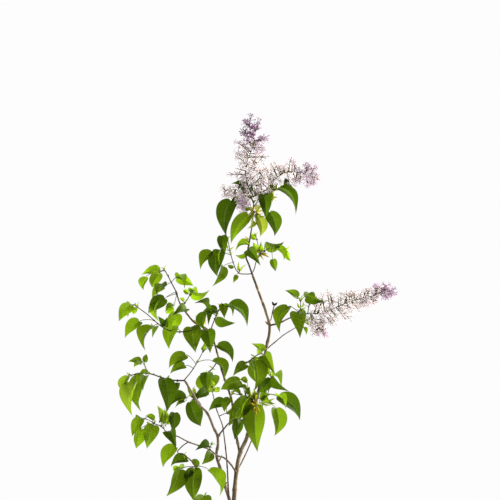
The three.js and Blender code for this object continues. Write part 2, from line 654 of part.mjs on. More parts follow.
function blossomSolid(blossom, crowd) {
  const random = seeded(blossom.seed);
  return joined(blossom.panicles.flatMap((panicle) => {
    const { path, florets } = floretsOf(panicle, random);
    crowd.push(...florets.map((floret) => floret.centre));
    return [
      solidOf(stemGeometry(path, tapered([1.3, 0.8]), 3)),
      ...florets.map((floret) => solidOf(floretGeometry(floret))),
    ];
  }));
}

// ---------------------------------------------------------------- limbs
function limbGeometry(limb, clearance = 0) {
  const path = centreLine(limb.route.map(vector));
  const taper = tapered(limb.radius);
  const flare = (share) => (limb.from ? 0
    : FLARE.extra * Math.max(0, 1 - (share * path.getLength()) / FLARE.height) ** 2);
  return stemGeometry(path, (share) => taper(share) + flare(share) + clearance, limb.sides);
}

// A piece that grows from a limb is cut back to a saddle 0.3 mm off that limb.
function seatedOn(name, solid) {
  return name ? solid.subtract(solidOf(limbGeometry(LIMBS[name], JOINT_GAP))) : solid;
}

// ---------------------------------------------------------------- pot and soil
function potSolid() {
  const { height, baseRadius, shoulderRadius, rimRadius, rimHeight, wall, floor } = POT;
  const band = height - rimHeight;
  const profile = [[0, 0], [baseRadius, 0], [shoulderRadius, band], [rimRadius - 2, band],
    [rimRadius, height], [rimRadius - wall - 2, height], [rimRadius - wall - 4, band],
    [baseRadius - wall + 1, floor], [0, floor]];
  const shell = solidOf(new THREE.LatheGeometry(
    profile.map(([r, z]) => new THREE.Vector2(r, z)), POT.facets).rotateX(Math.PI / 2));
  let pot = shell;
  for (let i = 0; i < POT.drains; i++) {
    const angle = (2 * Math.PI * (i + 0.5)) / POT.drains;
    const drain = new THREE.CylinderGeometry(POT.drainRadius, POT.drainRadius, 4 * floor, 16)
      .rotateX(Math.PI / 2)
      .translate(Math.cos(angle) * POT.drainCircle, Math.sin(angle) * POT.drainCircle, floor);
    pot = pot.subtract(solidOf(drain));
  }
  return pot;
}

function soilSolid() {
  const { height, baseRadius, rimRadius, rimHeight, wall, floor } = POT;
  const band = height - rimHeight;
  const top = rimRadius - wall - 4 + (2 * (SOIL_LEVEL - band)) / rimHeight;
  const profile = [[0, floor + JOINT_GAP], [baseRadius - wall + 1 - JOINT_GAP, floor + JOINT_GAP],
    [rimRadius - wall - 4 - JOINT_GAP, band], [top - JOINT_GAP, SOIL_LEVEL - JOINT_GAP],
    [0, SOIL_LEVEL - JOINT_GAP]];
  return solidOf(new THREE.LatheGeometry(
    profile.map(([r, z]) => new THREE.Vector2(r, z)), POT.facets).rotateX(Math.PI / 2));
}

// ---------------------------------------------------------------- the assembly
const group = new THREE.Group();

function addPart(name, solid, colour, roughness) {
  const material = new THREE.MeshStandardMaterial({ color: colour, roughness, metalness: 0 });
  const mesh = new THREE.Mesh(geometryFrom(solid), material);
  mesh.name = name;
  group.add(mesh);
}

addPart("pot", potSolid(), COLOURS.clay, 0.85);
addPart("soil", soilSolid(), COLOURS.soil, 1);

const crowd = [];
for (const [name, limb] of Object.entries(LIMBS)) {
  addPart(name, seatedOn(limb.from, solidOf(limbGeometry(limb))), COLOURS.bark, 0.8);
  crowd.push(...placesAlong(centreLine(limb.route.map(vector))));
}
for (const [name, blossom] of Object.entries(BLOSSOM)) {
  addPart(name, blossomSolid(blossom, crowd), COLOURS.blossom, 0.6);
}
for (const [name, shoot] of Object.entries(SHOOTS)) {
  addPart(name, seatedOn(shoot.from, shootSolid(shoot, crowd)), COLOURS.leaf, 0.5);
}

export default group;
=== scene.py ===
"""A young lilac bush in bloom, standing in a plain clay pot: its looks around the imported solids.

Sizes are millimetres in the part's own frame (+Z up, the pot's underside at 0, seen along +Y) and
become metres when a mesh is made. Stems, twigs, leaves and panicles follow the named sizes and the
seeded rule that shape the solids, and carry on from them to leaf ribs, young leaves, buds, florets
and bark.
"""

import math
from random import Random

import bpy
import numpy as np
from mathutils import Matrix, Vector, noise


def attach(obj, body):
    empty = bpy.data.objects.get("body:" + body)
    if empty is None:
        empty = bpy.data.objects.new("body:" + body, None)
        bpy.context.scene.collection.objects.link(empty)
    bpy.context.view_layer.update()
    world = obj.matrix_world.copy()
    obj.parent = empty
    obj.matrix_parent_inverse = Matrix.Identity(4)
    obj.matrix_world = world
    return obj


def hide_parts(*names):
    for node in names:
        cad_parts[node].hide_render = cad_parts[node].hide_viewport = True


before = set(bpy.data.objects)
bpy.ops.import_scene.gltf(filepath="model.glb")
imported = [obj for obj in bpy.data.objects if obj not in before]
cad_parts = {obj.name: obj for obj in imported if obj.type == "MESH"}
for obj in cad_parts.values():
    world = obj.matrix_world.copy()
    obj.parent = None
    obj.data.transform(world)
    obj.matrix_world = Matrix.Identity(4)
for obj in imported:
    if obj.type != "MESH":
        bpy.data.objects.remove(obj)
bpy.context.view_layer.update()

MM = 0.001

# ------------------------------------------------------------------ driving dimensions
POT = {"height": 225, "base": 88, "shoulder": 117, "rim": 127, "rim_height": 34, "wall": 9,
       "floor": 11, "drain_radius": 7, "drain_circle": 48, "drains": 4}
SOIL_LEVEL = 200
CROWN_DEPTH = 1.7  # stretches the y of every route, and so the crown from front to back
FLARE = {"height": 26, "extra": 4.6}

LEAF = {
    "slopes": [0.12, 0.3, 0.48, 0.66],  # leans of a blade towards or away from the front
    "room": 15,  # as much room as a leaf looks for round its blade
    "turn": 42,  # widest seeded turn of a blade about its midrib, degrees
    # one half of the heart-shaped blade: along the midrib, and out from it, as shares of its length
    "rim": [(0, 0), (-0.05, 0.08), (-0.055, 0.17), (0.0, 0.26), (0.1, 0.31), (0.22, 0.325),
            (0.36, 0.305), (0.5, 0.26), (0.64, 0.19), (0.77, 0.115), (0.88, 0.055),
            (0.95, 0.02), (1, 0)],
    # where the side rib to each of those rim points leaves the midrib
    "ribs": [0, 0, 0.02, 0.06, 0.13, 0.22, 0.33, 0.45, 0.58, 0.72, 0.85, 0.94, 1],
    "columns": 5,
    "rib_relief": 0.005,
    "stalk": (0.85, 0.6),  # radius at the twig and at the blade
    "midrib": 0.12,  # radius of the midrib at the tip
}

FLORET = {"calyx": 2.4, "calyx_radius": (0.55, 0.95), "tube": 10.5,
          "tube_radius": (0.35, 0.45, 0.7), "lobe": 5.6, "lobe_width": 2.3, "bud": 4.6,
          "bud_radius": 1.1}
GOLDEN_ANGLE = 137.5

# How leaves differ: the range of each seeded measure of a blade, in the order of the draws.
LOOK = {"arch": (0.1, 0.22), "fold": (0.5, 0.85), "droop": (0.1, 0.6), "curl": (0.1, 0.6),
        "wave": (0.03, 0.12), "phase": (0, 6), "bend": (-0.03, 0.03), "width": (0.86, 1.04)}
BARK_RELIEF = {"swell": 0.22, "ridges": 0.34, "bumps": 0.2}

# ------------------------------------------------------------------ stems and boughs
# A route of points, and the radius at its foot and at its tip.
LIMBS = {
    "main_stem": {"radius": (4.9, 2.4), "route": [
        (-8, 0, SOIL_LEVEL), (-8, 0, 211), (-7, 0, 230), (-2, 0, 280), (3, 1, 336), (11, 2, 376),
        (22, 3, 400), (44, 5, 486), (56, 4, 530), (61, 2, 575), (69, 0, 630), (62, -2, 656),
        (49, -3, 692), (43, -4, 709), (35.2, -4, 729.4)]},
    "left_stem": {"radius": (3.4, 2.0), "route": [
        (-5, 0, 250), (-11, -2, 280), (-20, -4, 309), (-28, -6, 340), (-37, -8, 372),
        (-34, -8, 393), (-35.4, -10, 410), (-41, -12, 422), (-59, -18, 460), (-70, -21, 470),
        (-83, -25, 493), (-99.2, -30, 520)]},
    "left_bough": {"radius": (2.9, 1.7), "route": [
        (10, 3, 371), (3, 9, 406), (-8, 17, 484), (-22, 24, 524), (-38, 34, 580), (-46, 40, 604),
        (-57, 45, 620), (-82, 56, 633), (-97, 62, 650), (-112, 68, 672), (-117.4, 71, 687)]},
    "front_bough": {"radius": (1.9, 1.3), "route": [
        (3, -1, 334), (-9, -8, 353), (-24, -16, 367), (-34, -22, 370), (-49, -27, 382),
        (-72, -37, 392), (-92, -47, 400), (-111, -57, 411)]},
    "slender_stem": {"radius": (1.7, 1.0), "route": [
        (-12, -2, 285), (-13.5, 1, 304), (-15, 3, 336), (-18, 5, 375), (-22.4, 6, 411),
        (-25, 7, 428), (-32, 8, 447), (-37.2, 9, 461), (-44.6, 10, 492)]},
    "right_thin_twig": {"radius": (1.5, 1.0), "route": [
        (6, 2, 341), (16, 8, 360), (32, 13, 395), (56, 20, 470)]},
    "right_branch": {"radius": (1.9, 1.3), "route": [
        (69, 0, 629), (88, -10, 634), (108, -20, 644), (130, -30, 652.4)]},
    "right_long_twig": {"radius": (1.3, 0.9), "route": [
        (61, 2, 580), (77, 6, 593), (101, 12, 612), (118, 16, 622)]},
    "dead_twig": {"radius": (1.2, 1.1), "route": [
        (68.5, 0, 633), (72, 2, 641), (75, 4, 655), (79, 6, 671)]},
    "short_spur": {"radius": (1.8, 1.4), "route": [(-35, -10, 408), (-29, -16, 415), (-14, -26, 434)]},
}

# ------------------------------------------------------------------ leafy shoots
# A leaf stands at a share of its twig's length: [place, stalk's heading, stalk's length, blade's
# heading, blade's length, turn of its face]. Headings are in degrees as seen from the front (0 is
# to the right, 90 up). "deep" more leaves point to the front and the back by the seeded rule.
# "light" is how bright the spray's green is, from 0 to 1: partly the leaves' own tone, partly painted
# shade on sprays deep in the crown and painted light on lit ones. "bright" to "open" name leaves that
# differ, by their number in the shoot; the "bright" leaves carry painted light and the "dark" ones
# painted shade. A twig with a "fork" starts at a share of an earlier twig.
SHOOTS = {
    "top_shoot": dict(seed=11, light=0.38, deep=2, deep_leaf=46, bright=[16, 17],
        dark=[0, 1, 2, 9, 10, 11, 14], slim=[3, 9, 13], young=[4, 5], twigs=[
        dict(radius=(1.9, 1.2), route=[(35.2, -4, 729.7), (26.4, -4, 754), (22.4, -4, 764),
            (26, -3, 782), (31.4, -2, 812), (35, 0, 836), (37, 0, 872)], leaves=[
            [0.88, 152, 50, -98, 71, 15], [0.95, 50, 33, -86, 48, 15], [0.88, 1, 33, -78, 49, -8],
            [0.88, 202, 11, -121, 68, 6], [0.86, -33, 14, -85, 38, -15], [0.84, -105, 10, -112, 18],
            [0.4, 60, 5, -159, 31, 62], [0.34, 60, 4, -54, 38, 25], [0.3, 150, 5, 192, 20],
            [0.95, 35, 62, -50, 60, -45]]),
        dict(radius=(1.1, 0.8), fork=(0, 0.02), route=[(22, -9, 732), (8, -14, 734), (2, -17, 741),
            (-2, -20, 751), (-6, -22, 763), (-14, -24, 800)], leaves=[
            [1, 148, 14, -80, 38, 10], [0.78, 177, 23, -93, 53, -8], [0.7, 173, 38, -128, 40, 15],
            [0.55, 202, 22, -118, 44, -34], [0.3, -138, 7, -111, 16], [0.45, 180, 4, 155, 12]]),
        dict(radius=(1.1, 0.7), fork=(0, 0.02), route=[(39, 0, 744), (43, 3, 759), (50.6, 6, 773),
            (47, 8, 787), (42, 10, 808)], leaves=[
            [0.53, 130, 6, 115, 23], [0.56, 100, 6, 80, 18], [0.9, 150, 4, 130, 15]]),
        dict(radius=(0.9, 0.7), fork=(2, 0.52), route=[(75, 10, 786), (100, 14, 781)], leaves=[
            [0.2, 77, 21, 0, 36, 60], [0.6, 0, 5, -56, 30], [1, -50, 5, -68, 22],
            [0.5, -83, 24, -76, 25]]),
    ]),
    "high_left_shoot": dict(seed=23, light=0.54, deep=2, deep_leaf=44, dark=[5], twigs=[
        dict(radius=(1.4, 1.0), route=[(-117.5, 71.1, 687.4), (-121, 73, 697), (-130, 76, 714),
            (-136, 78, 726), (-144, 80, 740)], leaves=[
            [1, 209, 11, 185, 38, 20], [0.95, 198, 42, -100, 27], [1, 215, 12, -118, 35, 5],
            [0.5, 214, 18, -137, 34], [0.5, 38, 18, -31, 36, 10], [0.12, 208, 27, -139, 46, 15],
            [0.06, 207, 38, -96, 40, 60], [0.04, -107, 28, -143, 20]]),
    ]),
    "bough_side_shoot": dict(seed=31, light=0.5, deep=1, deep_leaf=34, bright=[3], twigs=[
        dict(radius=(1.2, 0.8), route=[(-108.5, 66.4, 666.8), (-101, 55, 674),
            (-92, 50, 688)], leaves=[
            [1, 70, 9, 0, 38, 50], [1, 130, 5, 140, 13], [0.5, 150, 4, 135, 11],
            [0.45, -126, 27, -116, 48, 5], [0.2, -60, 16, 190, 30, 60]]),
    ]),
    "inner_left_shoot": dict(seed=47, light=0.2, deep=2, deep_leaf=42, twigs=[
        dict(radius=(1.4, 0.9), route=[(-52, 43, 612), (-46, 32, 628), (-39, 26, 646),
            (-30, 22, 664)], leaves=[
            [1, 12, 17, -46, 57, -46], [1, 45, 10, -88, 28, 10], [0.9, 170, 4, 190, 32, 30],
            [0.6, 30, 5, -17, 39, 25], [0.72, 165, 22, -93, 38, 50], [0.8, 160, 21, 146, 29, 60]]),
    ]),
    "far_left_shoot": dict(seed=53, light=0.48, deep=2, deep_leaf=48, bright=[0, 2], dark=[6],
        wide=[5, 6], twigs=[
        dict(radius=(1.5, 0.9), route=[(-59, 45, 620.5), (-66, 34, 619), (-82, 24, 618),
            (-104, 16, 616), (-118, 12, 616), (-143, 6, 624), (-158, 3, 636), (-177, 0, 652.6),
            (-194, -2, 665)], leaves=[
            [1, 165, 17, -123, 39, 10], [1, -150, 3, -120, 15], [0.76, 183, 31, -131, 44, 28],
            [0.7, 208, 14, -112, 49, 46], [0.42, 140, 17, -102, 47, 20],
            [0.22, 145, 11, -79, 51, -8], [0.08, -10, 8, -83, 46, 15]]),
    ]),
    "mid_left_shoot": dict(seed=61, light=0.42, deep=3, deep_leaf=52, bright=[0, 1],
        dark=[7, 8, 12], twigs=[
        dict(radius=(1.6, 1.0), route=[(-99.5, -30.2, 520.4), (-126, -36, 522), (-144, -40, 526.6),
            (-160, -42, 532.6), (-169, -43, 535), (-190, -46, 536), (-205, -48, 532)], leaves=[
            [1, 200, 7, -96, 37, 40], [0.92, -100, 20, -95, 62, 30], [0.7, -137, 9, -97, 71, 34],
            [0.7, 118, 28, -138, 20], [0.7, 120, 27, 178, 25, 20], [0.7, 106, 24, 75, 16],
            [0.66, 200, 3, 186, 21, 60], [0.42, -40, 6, -87, 65, 8], [0.13, -90, 6, -92, 28, 30]]),
        dict(radius=(1.2, 0.8), fork=(0, 0.02), route=[(-87, -30, 538), (-74, -28, 558.6),
            (-64, -26, 577)], leaves=[
            [0.6, 140, 28, -141, 43, 10], [0.45, 163, 18, -153, 33, 30],
            [0.65, 5, 31, -60, 46, -46], [1, 24, 32, -47, 46, -46], [1, 95, 5, 75, 16]]),
    ]),
    "inner_shoot": dict(seed=71, light=0.12, deep=1, deep_leaf=44, twigs=[
        dict(radius=(1.3, 0.9), route=[(-76, -22.7, 480.5), (-71, -6, 490), (-64, 0, 505),
            (-60, 3, 522)], leaves=[
            [1, 75, 12, -86, 38, 12], [0.5, 20, 14, -150, 33, 15], [0.3, -147, 20, -66, 54, -10],
            [0.44, 188, 27, -151, 38, 40]]),
    ]),
    "low_left_shoot": dict(seed=83, light=0.45, deep=2, deep_leaf=48, bright=[0, 1, 2], dark=[3, 4],
        twigs=[
        dict(radius=(1.2, 0.9), route=[(-111.3, -57.2, 411.2), (-134, -66, 420), (-144, -70, 432),
            (-158, -74, 438)], leaves=[
            [1, 161, 30, -114, 38, 12], [1, 202, 30, -101, 40, -32], [1, -130, 5, -104, 47, 5],
            [0.74, 46, 37, -98, 38, -10], [0.47, 14, 7, -70, 34, 20], [0.14, -87, 24, -124, 48, 15],
            [1, 95, 8, 160, 20], [0.76, 80, 10, 84, 19, 20]]),
    ]),
    "low_mid_shoot": dict(seed=89, light=0.2, twigs=[
        dict(radius=(1.1, 0.7), route=[(-49, -27, 382), (-50, -33, 387), (-47, -38, 393)], leaves=[
            [0.8, 180, 3, 192, 27, 40], [0.55, -80, 10, -129, 29, 10]]),
    ]),
    "hanging_shoot": dict(seed=97, light=0.33, deep=1, deep_leaf=46, bright=[2, 6], dark=[3],
        open=[0], twigs=[
        dict(radius=(1.2, 0.9), route=[(-92, -47, 400), (-106, -34, 389), (-114, -28, 378),
            (-100, -24, 371), (-88, -22, 362), (-79, -22, 348)], leaves=[
            [1, 189, 32, -113, 59, -40], [1, -108, 4, -92, 66, -5], [0.98, -16, 30, -67, 57, -38],
            [1, 205, 12, -120, 22], [0.9, 150, 12, -158, 37, 45], [0.85, 30, 6, -70, 17]]),
    ]),
    "low_back_shoot": dict(seed=101, light=0.4, deep=2, deep_leaf=50, twigs=[
        dict(radius=(1.3, 0.9), route=[(-10, -1.6, 275), (-24, 14, 273), (-42, 30, 271),
            (-56, 40, 276)], leaves=[
            [1, 130, 10, -95, 56, 10], [0.8, 190, 22, -130, 50, 12], [0.7, -20, 10, -60, 44]]),
    ]),
    "centre_upper_shoot": dict(seed=105, light=0.5, deep=2, deep_leaf=40, bright=[0], dark=[3],
        twigs=[
        dict(radius=(1.2, 0.8), route=[(60, 2, 570), (52, -10, 573), (40, -18, 568),
            (27, -22, 557)], leaves=[
            [0.35, 59, 14, -136, 23, 15], [0.35, 84, 7, 144, 24, 15], [0.25, -27, 6, -63, 39, 5],
            [0.85, -50, 6, -88, 59, -20], [1, 215, 8, -138, 33, 10]]),
    ]),
    "centre_right_shoot": dict(seed=107, light=0.45, deep=2, deep_leaf=48, dark=[0, 3, 4], twigs=[
        dict(radius=(1.0, 0.8), route=[(56.1, 20.1, 470.4), (64, 14, 488), (70, 2, 508),
            (72, -12, 526)], leaves=[
            [0.3, -9, 25, -49, 64, -18], [0.06, -27, 28, -93, 57, -30], [0.45, 150, 5, -60, 36, 30],
            [1, -90, 6, -135, 37, 15], [1, 24, 5, -48, 42, 42]]),
    ]),
    "centre_left_shoot": dict(seed=109, light=0.35, deep=1, deep_leaf=50, bright=[8], twigs=[
        dict(radius=(1.4, 1.0), route=[(43, 4, 480), (38, -8, 482), (31, -14, 484)], leaves=[
            [1, -66, 20, -88, 88, 5], [1, 197, 6, -125, 68, 8]]),
        dict(radius=(1.0, 0.8), fork=(0, 0.95), route=[(20, -18, 489), (-2, -22, 494)], leaves=[
            [0.35, 111, 33, -154, 43, 10], [0.35, 85, 28, 168, 17, 30], [0.4, 80, 12, 167, 18, 55],
            [1, 225, 13, -110, 30, 20], [0.6, 150, 4, 175, 17, 65], [0.3, 60, 6, 80, 16]]),
    ]),
    "back_shoot": dict(seed=149, light=0.4, deep=1, deep_leaf=44, twigs=[
        dict(radius=(1.4, 0.9), route=[(57.7, 3.3, 545), (54, 24, 552), (46, 52, 556),
            (40, 72, 553)], leaves=[
            [1, 120, 8, -85, 44], [0.95, 30, 10, -60, 40], [0.6, 200, 8, -85, 42]]),
    ]),
    "back_left_shoot": dict(seed=151, light=0.4, deep=1, deep_leaf=44, twigs=[
        dict(radius=(1.4, 0.9), route=[(-32.5, 30.5, 560), (-44, 52, 543), (-56, 80, 528)], leaves=[
            [1, 200, 6, -80, 44], [1, -30, 8, -105, 42], [0.6, 230, 12, -95, 40]]),
    ]),
    "spur_shoot": dict(seed=113, light=0.2, deep=1, deep_leaf=36, twigs=[
        dict(radius=(1.2, 0.9), route=[(-13.7, -26.3, 434.4), (-6, -34, 440),
            (4, -42, 446)], leaves=[
            [1, -20, 9, -110, 42, 12], [0.6, 110, 5, 100, 20]]),
    ]),
    "right_shoot": dict(seed=127, light=0.4, deep=2, deep_leaf=46, twigs=[
        dict(radius=(1.2, 0.8), route=[(120, -26, 648.6), (125, -38, 655), (130, -46, 666),
            (130, -49, 680)], leaves=[
            [1, 128, 9, 153, 29, 10], [0.97, 38, 16, -20, 36, 12], [0.45, 152, 23, -108, 54, 20],
            [0.25, 45, 4, -87, 50, 20]]),
    ]),
    "right_low_shoot": dict(seed=131, light=0.3, deep=1, deep_leaf=38, twigs=[
        dict(radius=(0.9, 0.7), route=[(118.2, 16, 622.2), (130, 16, 630), (141, 14, 637)], leaves=[
            [1, -105, 13, -68, 16], [1, 51, 7, -44, 18, 30], [0.7, 100, 5, 95, 16]]),
    ]),
    "slender_shoot": dict(seed=137, light=0.9, twigs=[
        dict(radius=(0.9, 0.8), route=[(-44.7, 10, 492.4), (-46, 10, 499), (-46, 10, 504)], leaves=[
            [0.7, 10, 3, 20, 15], [0.8, 170, 3, 165, 15], [1, 90, 2, 95, 13]]),
    ]),
    "slender_side_shoot": dict(seed=139, light=0.35, twigs=[
        dict(radius=(1.0, 0.8), route=[(-32, 8, 447), (-24, 5, 451), (-15, 2, 454)], leaves=[
            [0.9, 98, 21, -155, 37, 25], [1, 10, 2, 15, 10], [1, -60, 2, -50, 9]]),
    ]),
}

# ------------------------------------------------------------------ blossom
# A panicle is a route, the reach of its side stalks at its foot, middle and tip, the number of its
# sprays, where they start, and from where along it the florets turn lilac and then purple.
# "between" is how many more sprays the scene has for each of the solid's, and "past" how much
# further those reach at the tip.
BLOSSOM = {
    "top_blossom": dict(seed=211, panicles=[
        dict(sprays=26, between=1.4, past=1.25, start=0.2, reach=(16, 34, 18), lilac=0.62,
            purple=0.76, route=[
            (37, 0, 872.8), (30, 2, 894), (21, 3, 944), (28, 2, 967), (36, 0, 988), (38, 0, 1006),
            (31, 0, 1017), (27, 0, 1033)]),
        dict(sprays=11, between=3.6, past=2.0, start=0.3, reach=(16, 22, 8), lilac=0.74, purple=2,
            route=[
            (31.2, 1.7, 889), (62, 16, 901), (82, 18, 924), (101, 18, 936), (123, 17, 937),
            (161, 14, 925)]),
        dict(sprays=7, start=0.3, reach=(9, 15, 8), lilac=2, purple=3, route=[
            (34.2, 0.8, 881), (20, 12, 892), (2, 16, 901), (-24, 16, 897)]),
        dict(sprays=3, start=0.5, reach=(8, 12, 6), lilac=2, purple=3, route=[
            (32.5, 1.3, 885.5), (58, 20, 893), (84, 26, 885)]),
        dict(sprays=3, start=0.5, reach=(8, 12, 6), lilac=2, purple=3, route=[
            (28.6, 2.2, 901.7), (47, -8, 922), (60, -12, 942)]),
        dict(sprays=7, start=0.3, reach=(9, 15, 11), lilac=0.8, purple=3, route=[
            (33.8, 0.9, 882), (24, -9, 889), (15, -17, 883), (16, -21, 869)]),
    ]),
    "right_blossom": dict(seed=223, panicles=[
        dict(sprays=27, between=1.6, start=0.16, reach=(34, 36, 14), lilac=0.82, purple=0.96,
            route=[
            (130.8, -30.3, 652.7), (150, -30, 654), (172, -30, 653.4), (192, -29, 662),
            (212, -28, 671), (243, -27, 682), (275, -26, 689), (304, -25, 703)]),
        dict(sprays=7, start=0.3, reach=(12, 20, 10), lilac=0.9, purple=2, route=[
            (152.5, -30.5, 652.5), (158, -33, 641), (167, -35, 628), (172, -36, 616)]),
    ]),
}

# Small leaves in bunches: the tint, the width of a blade, where the bunch sits and the tips.
SPRIGS = [
    ("bronze", 0.5, (38, -2, 857), [
        (26, -8, 864), (30, -10, 870), (52, -10, 872), (60, -8, 863), (57, -10, 852),
        (26, -8, 847)]),
    ("olive", 0.6, (39, -4, 855), [(61, -8, 870), (62, -12, 846), (50, -14, 838), (30, -10, 838)]),
    ("olive", 0.9, (68, 12, 898), [
        (74, 8, 918), (86, 6, 914), (92, 8, 900), (86, 4, 884), (76, 2, 876), (66, 4, 880)]),
    ("deep", 0.8, (98, 16, 926), [(112, 12, 908), (121, 14, 898)]),
    ("deep", 1.0, (18, 0, 904), [(-6, -8, 914), (8, -8, 916)]),
    ("deep", 0.9, (26, -4, 894), [(10, -20, 906), (34, -20, 912), (30, -22, 884)]),
    ("deep", 0.9, (12, -2, 884), [(-9, -8, 874)]),
    ("green", 0.9, (34, -2, 862), [(11, -8, 868)]),
    ("bronze", 0.5, (50.6, 6, 773), [
        (38, 4, 780), (60, 2, 784), (66, 2, 773), (70, 4, 764), (58, 0, 760), (42, 2, 763)]),
    ("bronze", 0.6, (28, -4, 800), [(20, -8, 808), (18, -6, 798)]),
    ("spring", 0.5, (-12, -22, 780), [(-26, -20, 796), (-2, -24, 786)]),
    ("spring", 0.45, (8, -14, 735), [(8, -20, 758), (24, -18, 752), (16, -20, 744)]),
    ("bronze", 0.6, (-68, 47, 627), [
        (-86, 40, 640), (-80, 38, 650), (-68, 38, 652), (-60, 40, 644), (-84, 40, 628)]),
    ("green", 0.9, (-124, 70, 674), [(-142, 64, 654)]),
    ("deep", 1.0, (-140, 6, 622), [(-154, 4, 648), (-136, 2, 646)]),
    ("spring", 0.8, (36, -8, 480), [
        (29, -17, 503), (38, -18, 504), (47, -17, 498), (27, -16, 488), (33, -18, 460),
        (44, -16, 462), (37, -18, 452)]),
    ("bronze", 0.8, (38, -8, 482), [
        (23, -17, 482), (34, -18, 498), (50, -16, 484), (26, -18, 468), (40, -18, 466),
        (44, -18, 496)]),
    ("bronze", 0.6, (42, -28, 470), [
        (31, -31, 478), (45, -31, 484), (52, -30, 474), (35, -33, 458), (44, -33, 450),
        (50, -31, 458)]),
    ("deep", 1.0, (66, -4, 524), [(42, -8, 506), (50, -8, 502)]),
    ("green", 0.9, (48, -8, 478), [(72, -14, 494), (62, -16, 504)]),
    ("spring", 0.4, (48, -8, 476), [
        (64, -12, 466), (76, -10, 472), (58, -12, 458), (80, -10, 484)]),
    ("spring", 0.7, (-42, 2, 497), [
        (-51, -2, 504), (-36, -2, 507), (-30, 0, 497), (-44, -4, 509), (-52, 0, 495)]),
    ("spring", 0.9, (-79, -14, 509), [(-94, -18, 487)]),
    ("green", 0.8, (-96, -6, 480), [(-120, -10, 467), (-122, -8, 486)]),
    ("spring", 0.7, (130, -47, 664), [
        (123, -50, 676), (135, -50, 680), (141, -50, 668), (137, -50, 655)]),
    ("spring", 0.8, (-136, -68, 432), [(-152, -66, 474), (-138, -70, 468), (-128, -70, 458)]),
    ("green", 0.8, (-72, -7, 486), [(-96, -8, 508), (-92, -6, 490)]),
]

# Single buds on the stems, and the dead twig's dry tip: foot, tip and greatest radius.
BUDS = [
    ((67, 0, 630), (60, -3, 638), 2.0), ((50, -3, 694), (43, -6, 704), 1.8),
    ((56, -3, 674), (50, -5, 683), 1.8), ((-33, -8, 356), (-25, -10, 372), 1.5),
    ((-21, -4, 312), (-13, -6, 318), 1.6), ((-35, -9, 404), (-28, -12, 412), 1.5),
]
DRY_TIP = [((78.4, 6, 669), (74, 5, 677), 2.6), ((79, 6, 669), (85, 6, 675), 2.4)]


# ------------------------------------------------------------------ the rule shared with the solids
FRONT = Vector((0, -1, 0))
UP = Vector((0, 0, 1))


def vector(point):
    """A point of a route, with its depth stretched."""
    x, y, z = point
    return Vector((x, CROWN_DEPTH * y, z))


def seeded(seed):
    """The draws, from 0 to 1, that the solids were grown with."""
    state = [(seed * 7919 + 12345) & 0xFFFFFFFF]

    def draw():
        state[0] = (state[0] * 1664525 + 1013904223) & 0xFFFFFFFF
        return state[0] / 4294967296

    return draw


def turned(direction, axis, degrees):
    return Matrix.Rotation(math.radians(degrees), 3, axis) @ direction


def across_of(direction, along):
    """direction without its part along the other, at length 1."""
    return (direction - along * direction.dot(along)).normalized()


class Line:
    """The centre line of a stem: straight between its points for the rule, smooth for the mesh."""

    def __init__(self, route):
        self.points = [point if isinstance(point, Vector) else vector(point) for point in route]
        self.spans = [(b - a).length for a, b in zip(self.points, self.points[1:])]
        self.length = sum(self.spans)
        steps = [(b - a) / span for a, b, span in zip(self.points, self.points[1:], self.spans)]
        self.slopes = [steps[0]]
        for i in range(1, len(steps)):
            before, after = self.spans[i - 1], self.spans[i]
            self.slopes.append((steps[i] * before + steps[i - 1] * after) / (before + after))
        self.slopes.append(steps[-1])

    def place(self, share):
        """The span at a share of the length, and how far along that span it is."""
        left = share * self.length
        for i, span in enumerate(self.spans):
            if left <= span + 1e-6 or i == len(self.spans) - 1:
                return i, min(left / span, 1.0)
            left -= span

    def at(self, share):
        i, u = self.place(share)
        return self.points[i].lerp(self.points[i + 1], u)

    def smooth(self, share):
        i, u = self.place(share)
        span = self.spans[i]
        return (self.points[i] * (2 * u**3 - 3 * u**2 + 1) + self.points[i + 1] * (3 * u**2 - 2 * u**3)
                + self.slopes[i] * (span * (u**3 - 2 * u**2 + u))
                + self.slopes[i + 1] * (span * (u**3 - u**2)))

    def along(self, share, smooth=True):
        read = self.smooth if smooth else self.at
        low, high = max(share - 1e-4, 0), min(share + 1e-4, 1)
        return (read(high) - read(low)).normalized()

    def places(self):
        count = math.ceil(self.length / LEAF["room"])
        return [self.at(i / count) for i in range(count + 1)]


def place_leaf(twig, leaf, slope, roll):
    place, stalk_heading, stalk_length, heading, length, *turn = leaf

    def heading_vector(degrees, size):
        angle = math.radians(degrees)
        return Vector((math.cos(angle) * size, slope * size, math.sin(angle) * size))

    node = twig["line"].at(place)
    base = node + heading_vector(stalk_heading, stalk_length)
    tip = base + heading_vector(heading, length)
    along = (tip - base).normalized()
    face = turned(across_of(FRONT, along), along, turn[0] if turn else roll)
    return {"twig": twig, "place": place, "node": node, "base": base, "tip": tip, "face": face}


def place_deep_leaf(other, length, draw):
    """A leaf before or behind another one, for the depth of the crown."""
    node = other["node"]
    side = -1 if other["tip"].y > other["base"].y else 1
    drift = draw() - 0.5
    size = length * (0.8 + 0.3 * draw())
    fall = other["tip"] - other["base"]
    fall = Vector((fall.x, 0, fall.z)).normalized()
    base = node.lerp(other["base"], 0.8)
    base.y = node.y + side * 0.3 * length
    tip = base + fall * (0.5 * size) + Vector((0.2 * drift * size, side * 0.74 * size, -0.1 * size))
    face = across_of(Vector((0.5 * drift, 0, 1)), (tip - base).normalized())
    return {**other, "base": base, "tip": tip, "face": face}


def room_between(a, b):
    return 0.5 * math.hypot(a.x - b.x, a.z - b.z) + abs(a.y - b.y)


